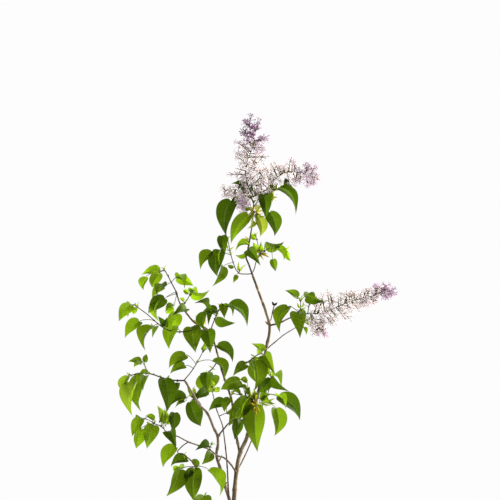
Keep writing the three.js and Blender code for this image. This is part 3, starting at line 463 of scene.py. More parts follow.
def roomiest(leaves, crowd):
    """Of the ways a leaf could lean, the one with most room round its blade."""
    best = None
    for leaf in leaves:
        blade = [leaf["base"].lerp(leaf["tip"], s) for s in (0.2, 0.5, 0.8, 1)]
        room = min([LEAF["room"]] + [room_between(mine, other) for other in crowd for mine in blade])
        if best is None or room > best[0] + 0.5:
            best = (room, leaf, blade)
    crowd.extend(best[2])
    return best[1]


def grow_shoot(shoot, crowd):
    """The twigs and leaves of one shoot, at the places that its solid has."""
    twigs = []
    for twig in shoot["twigs"]:
        foot = []
        if "fork" in twig:
            parent, share = twig["fork"]
            foot = [twigs[parent]["line"].at(share)]
        twigs.append({**twig, "line": Line(foot + twig["route"])})
    draw = seeded(shoot["seed"])
    leaves = []
    for twig in twigs:
        for leaf in twig["leaves"]:
            side = 1 if draw() < 0.5 else -1
            roll = LEAF["turn"] * (2 * draw() - 1)
            slopes = [s * slope for slope in LEAF["slopes"] for s in (side, -side)]
            leaves.append(roomiest([place_leaf(twig, leaf, s, roll) for s in slopes], crowd))
    longest = max((leaf["tip"] - leaf["base"]).length for leaf in leaves)
    large = [leaf for leaf in leaves if (leaf["tip"] - leaf["base"]).length > 0.65 * longest]
    for _ in range(shoot.get("deep", 0)):
        tries = [place_deep_leaf(large[int(draw() * len(large))], shoot["deep_leaf"], draw)
                 for _ in range(4)]
        leaves.append(roomiest(tries, crowd))
    for twig in twigs:
        crowd.extend(twig["line"].places())
    return twigs, leaves


def reach_at(panicle, share):
    """How far the side stalks reach at a share of a panicle's length."""
    foot, middle, tip = panicle["reach"]
    if share < 0.5:
        return foot + (middle - foot) * share * 2
    return middle + (tip - middle) * (share * 2 - 1)


def grow_panicle(panicle, draw):
    """The axis of a panicle and the side stalk of each of its sprays."""
    line = Line(panicle["route"])
    sprays = []
    for i in range(panicle["sprays"]):
        share = panicle["start"] + (1 - panicle["start"]) * (i + 0.5) / panicle["sprays"]
        along = line.along(share, smooth=False)
        side = across_of(Vector((1, 0.3, 0.2)), along)
        side = turned(side, along, GOLDEN_ANGLE * i + 20 * draw())
        facing = (side + along * 0.35).normalized()
        node = line.at(share)
        centre = node + facing * (reach_at(panicle, share) * (0.55 + 0.4 * draw()))
        draw()  # turns the floret of the solid, which the scene has no use for
        sprays.append({"share": share, "node": node, "centre": centre, "facing": facing})
    return line, sprays


# ------------------------------------------------------------------ mesh making
def polar(radius, angle, z=0.0):
    return Vector((radius * math.cos(angle), radius * math.sin(angle), z))


def circle(radius, z, sides, start=0.0):
    return [polar(radius, start + math.tau * k / sides, z) for k in range(sides)]


def added(name, data):
    """A new object of the scene."""
    made = bpy.data.objects.new(name, data)
    bpy.context.scene.collection.objects.link(made)
    return made


class Piece:
    """The faces of one joined piece, gathered in millimetres."""

    def __init__(self):
        self.vertices, self.faces, self.uvs = [], [], []

    def add(self, vertices, faces, uvs=None):
        first = len(self.vertices)
        self.vertices.extend(tuple(v) for v in vertices)
        self.faces.extend(tuple(first + i for i in face) for face in faces)
        self.uvs.extend(uvs if uvs else [(0, 0)] * len(vertices))

    def grid(self, rows, closed=False, uvs=None, flip=False):
        """Quads between rows of the same number of points, joined end to end where closed."""
        width = len(rows[0])
        faces = []
        for i in range(len(rows) - 1):
            for k in range(width if closed else width - 1):
                a, b = i * width + k, i * width + (k + 1) % width
                face = (a, b, b + width, a + width)
                faces.append(face[::-1] if flip else face)
        self.add([v for row in rows for v in row], faces, uvs)

    def tube(self, rings):
        """A closed tube through rings of points, with a flat end on each side."""
        width = len(rings[0])
        self.grid(rings, closed=True)
        last = len(self.vertices) - width
        first = last - width * (len(rings) - 1)
        self.faces.append(tuple(first + k for k in reversed(range(width))))
        self.faces.append(tuple(last + k for k in range(width)))

    def mesh(self, name):
        made = bpy.data.meshes.new(name)
        made.from_pydata([tuple(c * MM for c in v) for v in self.vertices], [], self.faces)
        return made

    def build(self, name, material, slot, nodes):
        """The piece as an object that stands for the named solids."""
        mesh = self.mesh(name)
        layer = mesh.uv_layers.new(name="UVMap")
        corners = np.zeros(len(mesh.loops), np.int32)
        mesh.loops.foreach_get("vertex_index", corners)
        layer.data.foreach_set("uv", np.array(self.uvs, np.float32)[corners].ravel())
        mesh.polygons.foreach_set("use_smooth", [True] * len(mesh.polygons))
        mesh.materials.append(material)
        mesh.update()
        piece = added(name, mesh)
        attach(piece, "root")
        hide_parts(*nodes)
        return piece


def rings_along(points, radii, sides, start=Vector((1, 0.3, 0))):
    """Rings of points round a line, each square to it, without twist."""
    rings, across = [], start
    for i, centre in enumerate(points):
        along = (points[min(i + 1, len(points) - 1)] - points[max(i - 1, 0)]).normalized()
        across = across_of(across, along)
        third = along.cross(across)
        ring = []
        for k in range(sides):
            angle = math.tau * k / sides
            out = across * math.cos(angle) + third * math.sin(angle)
            radius = radii[i](out) if callable(radii[i]) else radii[i]
            ring.append(centre + out * radius)
        rings.append(ring)
    return rings


def tapered(ends, share):
    """The radius at a share of the way between a stem's two ends."""
    foot, tip = ends
    return foot + (tip - foot) * share


def bark_stem(piece, line, radius_at, sides, step, nodes, relief=1.0, seed=0):
    """A stem with swollen nodes, lengthwise ridges and small bumps in its bark."""
    count = max(3, math.ceil(line.length / step))
    points = [line.smooth(i / count) for i in range(count + 1)]

    def radius(i):
        share = i / count
        place = share * line.length
        plain = radius_at(share)
        swell = sum(BARK_RELIEF["swell"] * math.exp(-((place - at) / (0.9 * plain + 0.8)) ** 2)
                    for at in nodes)

        def along_out(out):
            spot = points[i] * 0.05 + Vector((seed * 7.3, 0, 0))
            ridges = BARK_RELIEF["ridges"] * noise.noise(out * 2.6 + spot)
            bumps = BARK_RELIEF["bumps"] * noise.noise(points[i] * 0.34 + out * 1.9)
            return plain * (1 + swell) + relief * (ridges + bumps) * min(1, plain / 3)

        return along_out

    piece.tube(rings_along(points, [radius(i) for i in range(count + 1)], sides))


def bud(piece, foot, direction, length, radius):
    """A pointed, egg-shaped bud."""
    direction = direction.normalized()
    shape = [(0, 0.5), (0.2, 0.92), (0.42, 1), (0.66, 0.74), (0.86, 0.36), (1, 0.06)]
    points = [foot + direction * (length * s) for s, _ in shape]
    across = Vector((0.3, 1, 0.2)) if abs(direction.x) > 0.8 else Vector((1, 0.3, 0))
    piece.tube(rings_along(points, [radius * r for _, r in shape], 6, across))


def any_direction(random):
    z, angle = random.uniform(-1, 1), random.uniform(0, math.tau)
    return polar(math.sqrt(1 - z * z), angle, z)


# ------------------------------------------------------------------ leaves
def finer(values):
    """The values with one more between each two, on a smooth curve through them."""
    out = [values[0]]
    for i in range(1, len(values)):
        around = (max(i - 2, 0), i - 1, i, min(i + 1, len(values) - 1))
        a, b, c, d = (np.array(values[k], float) for k in around)
        out += [(9 * (b + c) - a - d) / 16, c]
    return out


# The rim and ribs of a blade, and how many columns of faces each half has. Small leaves keep the
# same outline with fewer ribs.
FULL = {"rim": finer(LEAF["rim"]), "ribs": finer(LEAF["ribs"]), "columns": LEAF["columns"]}
YOUNG = {"rim": LEAF["rim"][::2], "ribs": LEAF["ribs"][::2], "columns": 2}
BUNCHED = {**YOUNG, "columns": 3}


def leaf_point(base, along, face, length, look):
    """A function from a place on the blade (shares of its length) to a point."""
    across = along.cross(face)

    def point(s, w, lift=0.0):
        side = 4 * s * (1 - s)
        rise = look["arch"] * side + look["fold"] * abs(w) - look["droop"] * w * w + lift
        rise -= look["curl"] * max(0.0, s - 0.5) ** 2
        rise += look["wave"] * abs(w) * math.sin(9 * s + look["phase"] + (2 if w > 0 else 0))
        return (base + along * (s * length) + across * ((w + look["bend"] * side) * length)
                + face * (rise * length))

    return point


def leaf_look(random):
    return {name: random.uniform(*span) for name, span in LOOK.items()}


def add_blade(piece, point, width, shape):
    """Two half blades with sunken side ribs, folded up from the midrib between them."""
    rim, columns = shape["rim"], shape["columns"]
    for sign in (1, -1):
        rows, uvs = [], []
        for i, ((s1, w1), s0) in enumerate(zip(rim, shape["ribs"])):
            row = []
            for k in range(columns + 1):
                t = k / columns
                s = s0 + (s1 - s0) * t ** 1.25
                w = sign * width * w1 * t
                sunk = LEAF["rib_relief"] * (math.cos(math.pi * i / 2) - 1) * 2 * t * (1.15 - t)
                row.append(point(s, w, sunk))
                uvs.append((0.5 + 0.5 * sign * t, i / (len(rim) - 1)))
            rows.append(row)
        piece.grid(rows, uvs=uvs, flip=sign < 0)


def add_leaf(blades, node, base, tip, face, look, shape=FULL, thick=1.0):
    """A blade, its stalk bent over from the twig, and the midrib that the stalk goes on as."""
    length = (tip - base).length
    along = (tip - base) / length
    point = leaf_point(base, along, face, length, look)
    add_blade(blades, point, look["width"], shape)
    reach = (base - node).length
    lift = UP * (0.16 * reach) + (base - node) * 0.35
    back = base - (tip - base).normalized() * min(5, 0.4 * reach)
    bent = []
    for i in range(7):
        u = i / 6
        bent.append(node * (1 - u) ** 3 + (node + lift) * (3 * u * (1 - u) ** 2)
                    + back * (3 * u * u * (1 - u)) + base * u**3)
    stalks.tube(rings_along(bent, [tapered(LEAF["stalk"], i / 6) * thick for i in range(7)], 4))
    shares = [0, 0.08, 0.2, 0.35, 0.5, 0.65, 0.8, 0.92]
    ends = (LEAF["stalk"][1], LEAF["midrib"])
    blades.tube(rings_along([point(s, 0, -0.006) for s in shares],
                            [tapered(ends, s**0.6) * thick for s in shares], 4))


# ------------------------------------------------------------------ florets
def floret_shapes():
    """A calyx, a tube, a four-lobed mouth and a closed bud, each on the origin along +Z."""
    calyx, tube, mouth, closed = Piece(), Piece(), Piece(), Piece()
    length = FLORET["tube"]
    calyx.tube([circle(r, z, 4) for z, r in zip((0, FLORET["calyx"]), FLORET["calyx_radius"])])
    tube.grid([circle(r, z, 4, 0.4) for z, r in zip((0, 0.45 * length, length),
                                                    FLORET["tube_radius"])], closed=True)
    lobe_shape = [(0.1, 0.3, 0.0), (0.35, 0.85, 0.5), (0.65, 1.0, 0.55), (0.88, 0.7, 0.25),
                  (1.0, 0.12, 0.1)]
    for lobe in range(4):
        turn = Matrix.Rotation(math.tau * lobe / 4, 3, "Z")
        rows = []
        for s, w, z in lobe_shape:
            half = 0.5 * w * FLORET["lobe_width"]
            r = s * FLORET["lobe"]
            rows.append([turn @ Vector((r, side * half, length + z + 0.45 * abs(side) * w))
                         for side in (-1, 0, 1)])
        mouth.grid(rows)
    closed.tube([circle(r * FLORET["bud_radius"], 0.72 * length + s * FLORET["bud"], 5)
                 for s, r in [(0, 0.35), (0.3, 0.85), (0.6, 1), (0.85, 0.7), (1, 0.15)]])
    return calyx, tube, mouth, closed


CALYX, TUBE, MOUTH, CLOSED = floret_shapes()


def stand(target, shape, foot, direction, spin, size):
    """Adds a copy of a shape, stood on foot along direction."""
    turn = direction.to_track_quat("Z", "Y").to_matrix() @ Matrix.Rotation(spin, 3, "Z")
    points = np.array(shape.vertices) @ (np.array(turn) * size).T + np.array(foot)
    target.add(points.tolist(), shape.faces)


# ------------------------------------------------------------------ materials
BLACK, WHITE = (0, 0, 0), (1, 1, 1)


def plug(tree, socket, value):
    """Sets an input to a number or a colour, or links it to an output."""
    if isinstance(value, bpy.types.NodeSocket):
        tree.links.new(value, socket)
    elif socket.type == "RGBA":
        socket.default_value = (*value, 1)
    else:
        socket.default_value = value


def new_node(tree, kind, **inputs):
    """A shader node with some of its inputs set by name."""
    made = tree.nodes.new("ShaderNode" + kind)
    for name, value in inputs.items():
        plug(tree, made.inputs[name], value)
    return made


def material(name, roughness, specular):
    made = bpy.data.materials.new(name)
    made.use_nodes = True
    shader = made.node_tree.nodes["Principled BSDF"]
    shader.inputs["Roughness"].default_value = roughness
    shader.inputs["Specular IOR Level"].default_value = specular
    return made, made.node_tree, shader


def texture(tree, kind, stretch, **inputs):
    """The outputs of a texture laid through the object, stretched along its axes."""
    where = new_node(tree, "TexCoord")
    shape = new_node(tree, "Mapping", Vector=where.outputs["Object"], Scale=stretch)
    return new_node(tree, kind, Vector=shape.outputs["Vector"], **inputs).outputs


def noise_of(tree, scale, detail, stretch=(1, 1, 1)):
    return texture(tree, "TexNoise", stretch, Scale=scale, Detail=detail)["Fac"]


def ramp(tree, value, stops):
    """A smooth run of colours over a value."""
    made = new_node(tree, "ValToRGB", Fac=value)
    elements = made.color_ramp.elements
    while len(elements) < len(stops):
        elements.new(0.5)
    for element, (place, colour) in zip(elements, stops):
        element.position = place
        element.color = (*colour, 1)
    return made.outputs["Color"]


def mixed(tree, factor, a, b, kind="MIX"):
    made = new_node(tree, "Mix")
    made.data_type, made.blend_type = "RGBA", kind
    for name, value in (("Factor", factor), ("A", a), ("B", b)):
        plug(tree, made.inputs[name], value)
    return made.outputs["Result"]


def worked(tree, operation, *values):
    """The result of a sum that the shader does."""
    made = new_node(tree, "Math")
    made.operation = operation
    for socket, value in zip(made.inputs, values):
        plug(tree, socket, value)
    return made.outputs["Value"]


def bumped(tree, shader, height, strength, distance):
    made = new_node(tree, "Bump", Strength=strength, Distance=distance, Height=height)
    tree.links.new(made.outputs["Normal"], shader.inputs["Normal"])


def join_shaders(tree, share, first, second, output):
    """Mixes two nodes' shaders and gives the result to the tree's output."""
    both = new_node(tree, "MixShader", Fac=share)
    tree.links.new(first.outputs[0], both.inputs[1])
    tree.links.new(second.outputs[0], both.inputs[2])
    tree.links.new(both.outputs["Shader"], tree.nodes[output].inputs["Surface"])


def thin(tree, shader, colour, share):
    """Lets light through from behind, as a thin leaf or petal does."""
    through = new_node(tree, "BsdfTranslucent", Color=colour)
    join_shaders(tree, share, shader, through, "Material Output")


def leaf_material(name, dark, pale, through, share):
    """A leaf's green with a pale midrib and faint side ribs, placed by the blade's own map."""
    made, tree, shader = material(name, 0.6, 0.05)
    patches = ramp(tree, noise_of(tree, 40, 1.5), [(0.3, dark), (0.7, pale)])
    where = new_node(tree, "UVMap")
    where.uv_map = "UVMap"
    place = new_node(tree, "SeparateXYZ", Vector=where.outputs["UV"]).outputs
    wave = worked(tree, "COSINE", worked(tree, "MULTIPLY", place["Y"], math.tau * 6))
    side_ribs = mixed(tree, 0.15, BLACK, ramp(tree, wave, [(0.86, BLACK), (0.99, WHITE)]))
    midrib = mixed(tree, 0.8, BLACK, worked(tree, "COMPARE", place["X"], 0.5, 0.045))
    rib_colour = tuple(min(1, 3 * c + 0.05) for c in pale)
    veined = mixed(tree, side_ribs, patches, rib_colour)
    tree.links.new(mixed(tree, midrib, veined, rib_colour), shader.inputs["Base Color"])
    bumped(tree, shader, noise_of(tree, 500, 1), 0.1, 0.0003)
    thin(tree, shader, through, share)
    return made


def plain_material(name, dark, pale, scale, roughness=0.55, specular=0.2, through=None, share=0.3,
                   bump=0.2, distance=0.0003):
    """A base colour in soft patches with a fine grain. A thin one lets light through."""
    made, tree, shader = material(name, roughness, specular)
    colour = ramp(tree, noise_of(tree, scale, 3), [(0.35, dark), (0.65, pale)])
    tree.links.new(colour, shader.inputs["Base Color"])
    bumped(tree, shader, noise_of(tree, scale * 6, 2), bump, distance)
    if through:
        thin(tree, shader, through, share)
    return made


def bark_material(name, dark, middle, pale, spots):
    """Bark in long streaks with pale lenticels."""
    made, tree, shader = material(name, 0.78, 0.25)
    streaks = noise_of(tree, 200, 4, (1, 1, 0.2))
    colour = ramp(tree, streaks, [(0.3, dark), (0.5, middle), (0.72, pale)])
    blotch = ramp(tree, noise_of(tree, 28, 3), [(0.4, (0.55, 0.52, 0.5)), (0.65, WHITE)])
    colour = mixed(tree, 0.6, colour, blotch, "MULTIPLY")
    cells = texture(tree, "TexVoronoi", (1, 1, 0.6), Scale=300)["Distance"]
    dots = ramp(tree, cells, [(0.14, WHITE), (0.24, BLACK)])
    tree.links.new(mixed(tree, dots, colour, spots), shader.inputs["Base Color"])
    bumped(tree, shader, streaks, 0.5, 0.0006)
    return made


# Each tint: the dark and the pale of its patches, what comes through it, and the share that does.
# Deep, green, bright and spring run one leaf green from painted shade to painted light, besides the
# leaves' own tones; spring is also the young leaves' paler green.
LEAF_TINTS = {
    "deep": ((0.017, 0.036, 0.001), (0.028, 0.052, 0.002), (0.08, 0.155, 0.002), 0.26),
    "green": ((0.032, 0.06, 0.002), (0.048, 0.082, 0.003), (0.13, 0.22, 0.003), 0.34),
    "bright": ((0.056, 0.1, 0.003), (0.08, 0.132, 0.005), (0.21, 0.36, 0.004), 0.42),
    "spring": ((0.09, 0.135, 0.008), (0.13, 0.18, 0.014), (0.31, 0.46, 0.02), 0.44),
    "olive": ((0.08, 0.1, 0.006), (0.13, 0.155, 0.012), (0.23, 0.29, 0.02), 0.4),
    "bronze": ((0.24, 0.19, 0.01), (0.5, 0.42, 0.04), (0.4, 0.34, 0.025), 0.3),
}
PETAL_TINTS = {
    "pale": ((0.58, 0.5, 0.51), (0.82, 0.74, 0.74), (0.8, 0.71, 0.72), 0.3),
    "lilac": ((0.36, 0.25, 0.34), (0.53, 0.4, 0.5), (0.5, 0.38, 0.48), 0.3),
    "purple": ((0.15, 0.06, 0.13), (0.29, 0.15, 0.26), (0.3, 0.16, 0.27), 0.25),
}
TUBE_TINTS = {
    "pale": ((0.24, 0.18, 0.14), (0.46, 0.38, 0.32), (0.36, 0.25, 0.26), 0.2),
    "purple": ((0.045, 0.014, 0.03), (0.1, 0.035, 0.065), None, 0.0),
}
RACHIS = plain_material("panicle_stalk", (0.034, 0.038, 0.003), (0.12, 0.125, 0.01), 200, 0.6, 0.1)
STALK = plain_material("leaf_stalk", (0.08, 0.1, 0.02), (0.15, 0.17, 0.04), 160, 0.5, 0.4)
BUD = plain_material("bud_scale", (0.16, 0.1, 0.015), (0.3, 0.2, 0.03), 300, 0.5, 0.4)
DRY = plain_material("dry_wood", (0.01, 0.007, 0.006), (0.03, 0.02, 0.016), 300, 0.8, 0.2)
TWIG = bark_material("twig_bark", (0.024, 0.014, 0.011), (0.06, 0.036, 0.026), (0.12, 0.08, 0.06),
                     (0.24, 0.19, 0.14))
BARK = bark_material("stem_bark", (0.075, 0.052, 0.03), (0.19, 0.145, 0.09), (0.34, 0.27, 0.18),
                     (0.46, 0.38, 0.28))
YOUNG_BARK = bark_material("young_bark", (0.045, 0.028, 0.02), (0.12, 0.08, 0.052),
                           (0.22, 0.16, 0.105), (0.34, 0.27, 0.2))


def petal_material(name, dark, pale, through, share):
    return plain_material(name, dark, pale, 180, through=through, share=share)


def build_tints(pieces, name, skin, tints, make, slot, nodes):
    """Builds a piece for each tint, in a material of its own."""
    for tint, piece in pieces.items():
        piece.build(f"{name}_{tint}", make(f"{skin}_{tint}", *tints[tint]), slot, nodes)


# ------------------------------------------------------------------ stems and boughs
NODE_STEP = 41  # between two nodes of a stem
SLIM = 2.5  # a limb with a smaller radius at its foot is slim

stems, slim_stems, crowd = Piece(), Piece(), []
slim = [name for name, limb in LIMBS.items() if limb["radius"][0] < SLIM]


def limb_radius(limb, line, flares):
    """The radius along a limb: it swells at its foot, or flares into the soil."""
    def radius_at(share):
        plain, place = tapered(limb["radius"], share), share * line.length
        if flares:
            return plain + FLARE["extra"] * max(0, 1 - place / FLARE["height"]) ** 2
        return plain * (1 + 0.3 * max(0, 1 - place / (4 * limb["radius"][0])))

    return radius_at


for order, (name, limb) in enumerate(LIMBS.items()):
    line = Line(limb["route"])
    crowd.extend(line.places())
    nodes = [NODE_STEP * (0.6 + 0.93 * i) for i in range(int(line.length / NODE_STEP) + 1)]
    bark_stem(slim_stems if name in slim else stems, line,
              limb_radius(limb, line, name == "main_stem"), 16 if limb["radius"][0] > 3 else 10,
              2.0, nodes, seed=order)
stems.build("stems", BARK, "bark", [name for name in LIMBS if name not in slim])
slim_stems.build("slim_stems", YOUNG_BARK, "bark", slim)

# ------------------------------------------------------------------ blossom
AXIS_RADIUS = (1.3, 0.6)  # of a panicle's axis, at its foot and at its tip
# "from" is the share of its stalk where a spray's florets start, "open" how far they lean out in
# degrees, "radii" those of the stalk, and "buds" the share of the ripest places that hold a bud.
SPRAY = {"florets": 6, "from": 0.34, "open": (30, 78), "size": (0.8, 1.1),
         "radii": (1.0, 0.85, 0.6), "buds": 0.6}
BETWEEN = {"from": 0.35, "reach": (0.7, 1.3)}  # sprays among those of the solid

rachis, bloom_random = Piece(), Random(7)
petals = {tint: Piece() for tint in PETAL_TINTS}
tubes = {tint: Piece() for tint in TUBE_TINTS}


def add_spray(panicle, spray):
    """A side stalk with its florets, the last one at its end."""
    node, centre = spray["node"], spray["centre"]
    stalk = centre - node
    foot_of_end = centre - spray["facing"] * (FLORET["tube"] * 0.9)
    stem = tubes["purple"] if spray["share"] > panicle["purple"] else rachis
    stem.tube(rings_along([node, node.lerp(centre, 0.5), foot_of_end], SPRAY["radii"], 4))
    count = SPRAY["florets"] + bloom_random.choice([-1, 0, 1])
    along = stalk.normalized()
    side = across_of(Vector((0.2, 1, 0.4)), along)
    for i in range(count):
        last = i == count - 1
        share = SPRAY["from"] + (0.92 - SPRAY["from"]) * i / (count - 1)
        lean = 8 if last else bloom_random.uniform(*SPRAY["open"]) * (1.15 - 0.4 * share)
        out = turned(side, along, GOLDEN_ANGLE * i + bloom_random.uniform(-25, 25))
        direction = along * math.cos(math.radians(lean)) + out * math.sin(math.radians(lean))
        size = bloom_random.uniform(*SPRAY["size"])
        foot = foot_of_end if last else node + stalk * (share * 0.9)
        ripe = spray["share"] + bloom_random.uniform(-0.07, 0.07)
        tint = ("purple" if ripe > panicle["purple"] else
                "lilac" if ripe > panicle["lilac"] else "pale")
        spin = bloom_random.uniform(0, math.tau)
        is_bud = ripe > panicle["purple"] + 0.05 and bloom_random.random() < SPRAY["buds"]
        for piece, shape in ((tubes["purple" if tint == "purple" else "pale"], TUBE),
                             (stem, CALYX), (petals[tint], CLOSED if is_bud else MOUTH)):
            stand(piece, shape, foot, direction, spin, size)


def more_sprays(line, panicle):
    """Sprays between those of the solid, by the same rule. "past" widens them towards the tip."""
    count = round(panicle.get("between", 1) * panicle["sprays"])
    first = BETWEEN["from"] * panicle["start"]
    out = []
    for i in range(count):
        share = first + (0.995 - first) * (i + bloom_random.random()) / count
        wider = 1 + (panicle.get("past", 1) - 1) * share
        along = line.along(share, smooth=False)
        side = across_of(any_direction(bloom_random), along)
        facing = (side + along * (0.2 + 0.9 * share**3) / wider**2).normalized()
        node = line.at(share)
        reach = wider * reach_at(panicle, share) * bloom_random.uniform(*BETWEEN["reach"])
        out.append({"share": share, "node": node, "facing": facing,
                    "centre": node + facing * reach})
    return out


for blossom in BLOSSOM.values():
    draw = seeded(blossom["seed"])
    for panicle in blossom["panicles"]:
        line, sprays = grow_panicle(panicle, draw)
        crowd.extend(spray["centre"] for spray in sprays)
        steps = math.ceil(line.length / 6)
        rachis.tube(rings_along([line.smooth(i / steps) for i in range(steps + 1)],
                                [tapered(AXIS_RADIUS, i / steps) for i in range(steps + 1)], 6))
        for spray in sprays + more_sprays(line, panicle):
            add_spray(panicle, spray)

rachis.build("panicle_stalks", RACHIS, "blossom", BLOSSOM)
build_tints(petals, "floret", "petal", PETAL_TINTS, petal_material, "blossom", BLOSSOM)
build_tints(tubes, "tube", "tube", TUBE_TINTS, petal_material, "blossom", BLOSSOM)

# ------------------------------------------------------------------ shoots
# A leaf's tint follows its light: painted shade in the deep and green tints, painted light in the
# bright and spring ones, besides the leaf's own tone. LIT is the painted light of the leaves named
# bright and the painted shade of those named dark.
TINT_STEPS = [(0.3, "deep"), (0.52, "green"), (0.8, "bright"), (9, "spring")]
LIT = 0.3  # how much brighter or darker than its shoot a leaf named as such is
WIDER = 1.25  # how much a leaf named as wide or slim differs

leaves = {tint: Piece() for tint in LEAF_TINTS}
stalks, twigs_piece, buds, dry = Piece(), Piece(), Piece(), Piece()


def add_twig(twig, spots, random, shoot_seed):
    """A twig with a node and a pair of buds wherever a leaf stands."""
    line = twig["line"]
    places = sorted({round(spot["place"] * line.length, 1) for spot in spots})
    bark_stem(twigs_piece, line, lambda share: tapered(twig["radius"], share), 8, 1.6, places,
              relief=0.5, seed=shoot_seed)
    for place in places:
        share = min(place / line.length, 1)
        node, along = line.smooth(share), line.along(share)
        out = across_of(any_direction(random), along)
        for sign in (1, -1):
            direction = (out * sign + along * 1.1).normalized()
            bud(buds, node + out * (sign * 0.7), direction, random.uniform(2.4, 4.2), 0.95)


def add_young(line, share, size, random, count):
    """Small unfolding leaves in opposite pairs round a node."""
    node, along = line.smooth(share), line.along(share)
    out = across_of(any_direction(random), along)
    for i in range(count):
        heading = turned(out, along, 180 * i + 90 * (i // 2) + random.uniform(-20, 20))
        direction = (heading + along * random.uniform(0.2, 1.2) + UP * 0.3).normalized()
        face = across_of(along + UP * 0.4, direction)
        length = size * random.uniform(0.7, 1.15)
        base = node + direction * (0.25 * length)
        look = leaf_look(random)
        look.update(fold=random.uniform(0.5, 1.0), width=random.uniform(0.6, 0.85))
        add_leaf(leaves["spring"], node, base, base + direction * length, face, look, YOUNG, 0.55)


def dress_leaf(shoot, order, spot, is_deep, random):
    """A leaf of the solid with its own look. The shoot's lists say which ones differ."""
    def named(more, less):
        return (order in shoot.get(more, [])) - (order in shoot.get(less, []))

    base, tip = spot["base"], spot["tip"]
    look = leaf_look(random)
    length = (tip - base).length
    along = (tip - base) / length
    # Painted light and shade: the shoot's light and the bright and dark lists pale or darken the
    # leaf's green, with a random spread of its own tone and paler small leaves.
    light = shoot["light"] + random.uniform(-0.12, 0.12) + (0.12 if length < 32 else 0)
    light += LIT * named("bright", "dark")
    face = turned(spot["face"], along, random.uniform(-16, 16))
    if order in shoot.get("open", []):
        face = across_of(FRONT + face, along)
    stalk = (base - spot["node"]).normalized()
    look["bend"] += 0.1 * stalk.dot(along.cross(face))
    look["fold"] += 0.9 * (1 - abs(face.y))
    look["width"] *= (1.1 - 0.003 * length) * (0.75 if is_deep else 1)
    look["width"] *= WIDER ** named("wide", "slim")
    tint = next(name for limit, name in TINT_STEPS if light < limit)
    if order in shoot.get("young", []):
        tint = "olive"
    add_leaf(leaves[tint], spot["node"], base, tip, face, look)


for shoot in SHOOTS.values():
    random = Random(shoot["seed"])
    twigs, spots = grow_shoot(shoot, crowd)
    for twig in twigs:
        mine = [spot for spot in spots if spot["twig"] is twig]
        add_twig(twig, mine, random, shoot["seed"])
        add_young(twig["line"], 1.0, 10, random, 3)
        if twig["line"].length > 30:
            add_young(twig["line"], random.uniform(0.45, 0.7), 8, random, 2)
    for order, spot in enumerate(spots):
        is_deep = order >= len(spots) - shoot.get("deep", 0)
        dress_leaf(shoot, order, spot, is_deep, random)

sprig_random = Random(17)
for tint, width, foot, tips in SPRIGS:
    foot = vector(foot)
    for tip in map(vector, tips):
        base = foot.lerp(tip, 0.2)
        along = (tip - base).normalized()
        face = turned(across_of(FRONT, along), along, sprig_random.uniform(-50, 50))
        look = {**leaf_look(sprig_random), "width": width}
        add_leaf(leaves[tint], foot, base, tip, face, look, BUNCHED, 0.6)
for piece, places in ((buds, BUDS), (dry, DRY_TIP)):
    for foot, tip, radius in places:
        reach = vector(tip) - vector(foot)
        bud(piece, vector(foot), reach, reach.length, radius)

dry.build("dead_twig_tip", DRY, "bark", ["dead_twig"])
build_tints(leaves, "leaves", "leaf", LEAF_TINTS, leaf_material, "leaf", SHOOTS)
stalks.build("leaf_stalks", STALK, "leaf", SHOOTS)
twigs_piece.build("twigs", TWIG, "leaf", SHOOTS)
buds.build("buds", BUD, "leaf", SHOOTS)

# ------------------------------------------------------------------ pot and soil
BAND = POT["height"] - POT["rim_height"]  # where the rim's band starts
POT_SIDES = 128
SOIL_RINGS, SOIL_SIDES = 60, 160
CRUMBS = 900  # loose on the soil

CLAY = plain_material("clay", (0.17, 0.06, 0.03), (0.29, 0.12, 0.065), 22, 0.85, 0.25, bump=0.35,
                      distance=0.0006)
SOIL = plain_material("soil", (0.012, 0.008, 0.006), (0.05, 0.032, 0.022), 160, 0.95, 0.15,
                      bump=0.8, distance=0.002)
CRUMB = plain_material("soil_crumb", (0.02, 0.013, 0.009), (0.1, 0.065, 0.045), 120, 0.95, 0.15,
                       bump=0.6, distance=0.001)


def rounded(points, radius, steps=4):
    """The profile with its inner corners rounded."""
    out = [points[0]]
    for before, corner, after in zip(points, points[1:], points[2:]):
        a, b, c = (Vector((*p, 0)) for p in (before, corner, after))
        cut = min(radius, 0.45 * (a - b).length, 0.45 * (c - b).length)
        start, end = b + (a - b).normalized() * cut, b + (c - b).normalized() * cut
        for i in range(steps + 1):
            u = i / steps
            spot = start * (1 - u) ** 2 + b * (2 * u * (1 - u)) + end * u * u
            out.append((spot.x, spot.y))
    return out + [points[-1]]


def make_pot():
    """The shell turned round the Z axis, with the drain holes cut through its floor."""
    base, rim, wall, height = (POT[name] for name in ("base", "rim", "wall", "height"))
    profile = rounded([
        (2, 0), (base, 0), (POT["shoulder"], BAND), (rim - 2, BAND), (rim, height),
        (rim - wall - 2, height), (rim - wall - 4, BAND), (base - wall + 1, POT["floor"]),
        (2, POT["floor"])], 3.0)
    shell = Piece()
    shell.tube([circle(radius, z, POT_SIDES) for radius, z in profile])
    pot = shell.build("pot_shell", CLAY, "pot", ["pot"])
    cutters = []
    for i in range(POT["drains"]):
        centre = polar(POT["drain_circle"], math.tau * (i + 0.5) / POT["drains"])
        drain = Piece()
        drain.tube([[centre + p for p in circle(POT["drain_radius"], z, 32)]
                    for z in (-5, 2 * POT["floor"])])
        cutters.append(added("drain", drain.mesh("drain")))
        cut = pot.modifiers.new("drain", "BOOLEAN")
        cut.operation, cut.object, cut.solver = "DIFFERENCE", cutters[-1], "EXACT"
    done = bpy.data.meshes.new_from_object(pot.evaluated_get(bpy.context.evaluated_depsgraph_get()))
    pot.modifiers.clear()
    pot.data = done
    for cutter in cutters:
        bpy.data.objects.remove(cutter)
    edges = pot.modifiers.new("edges", "EDGE_SPLIT")
    edges.split_angle = math.radians(50)


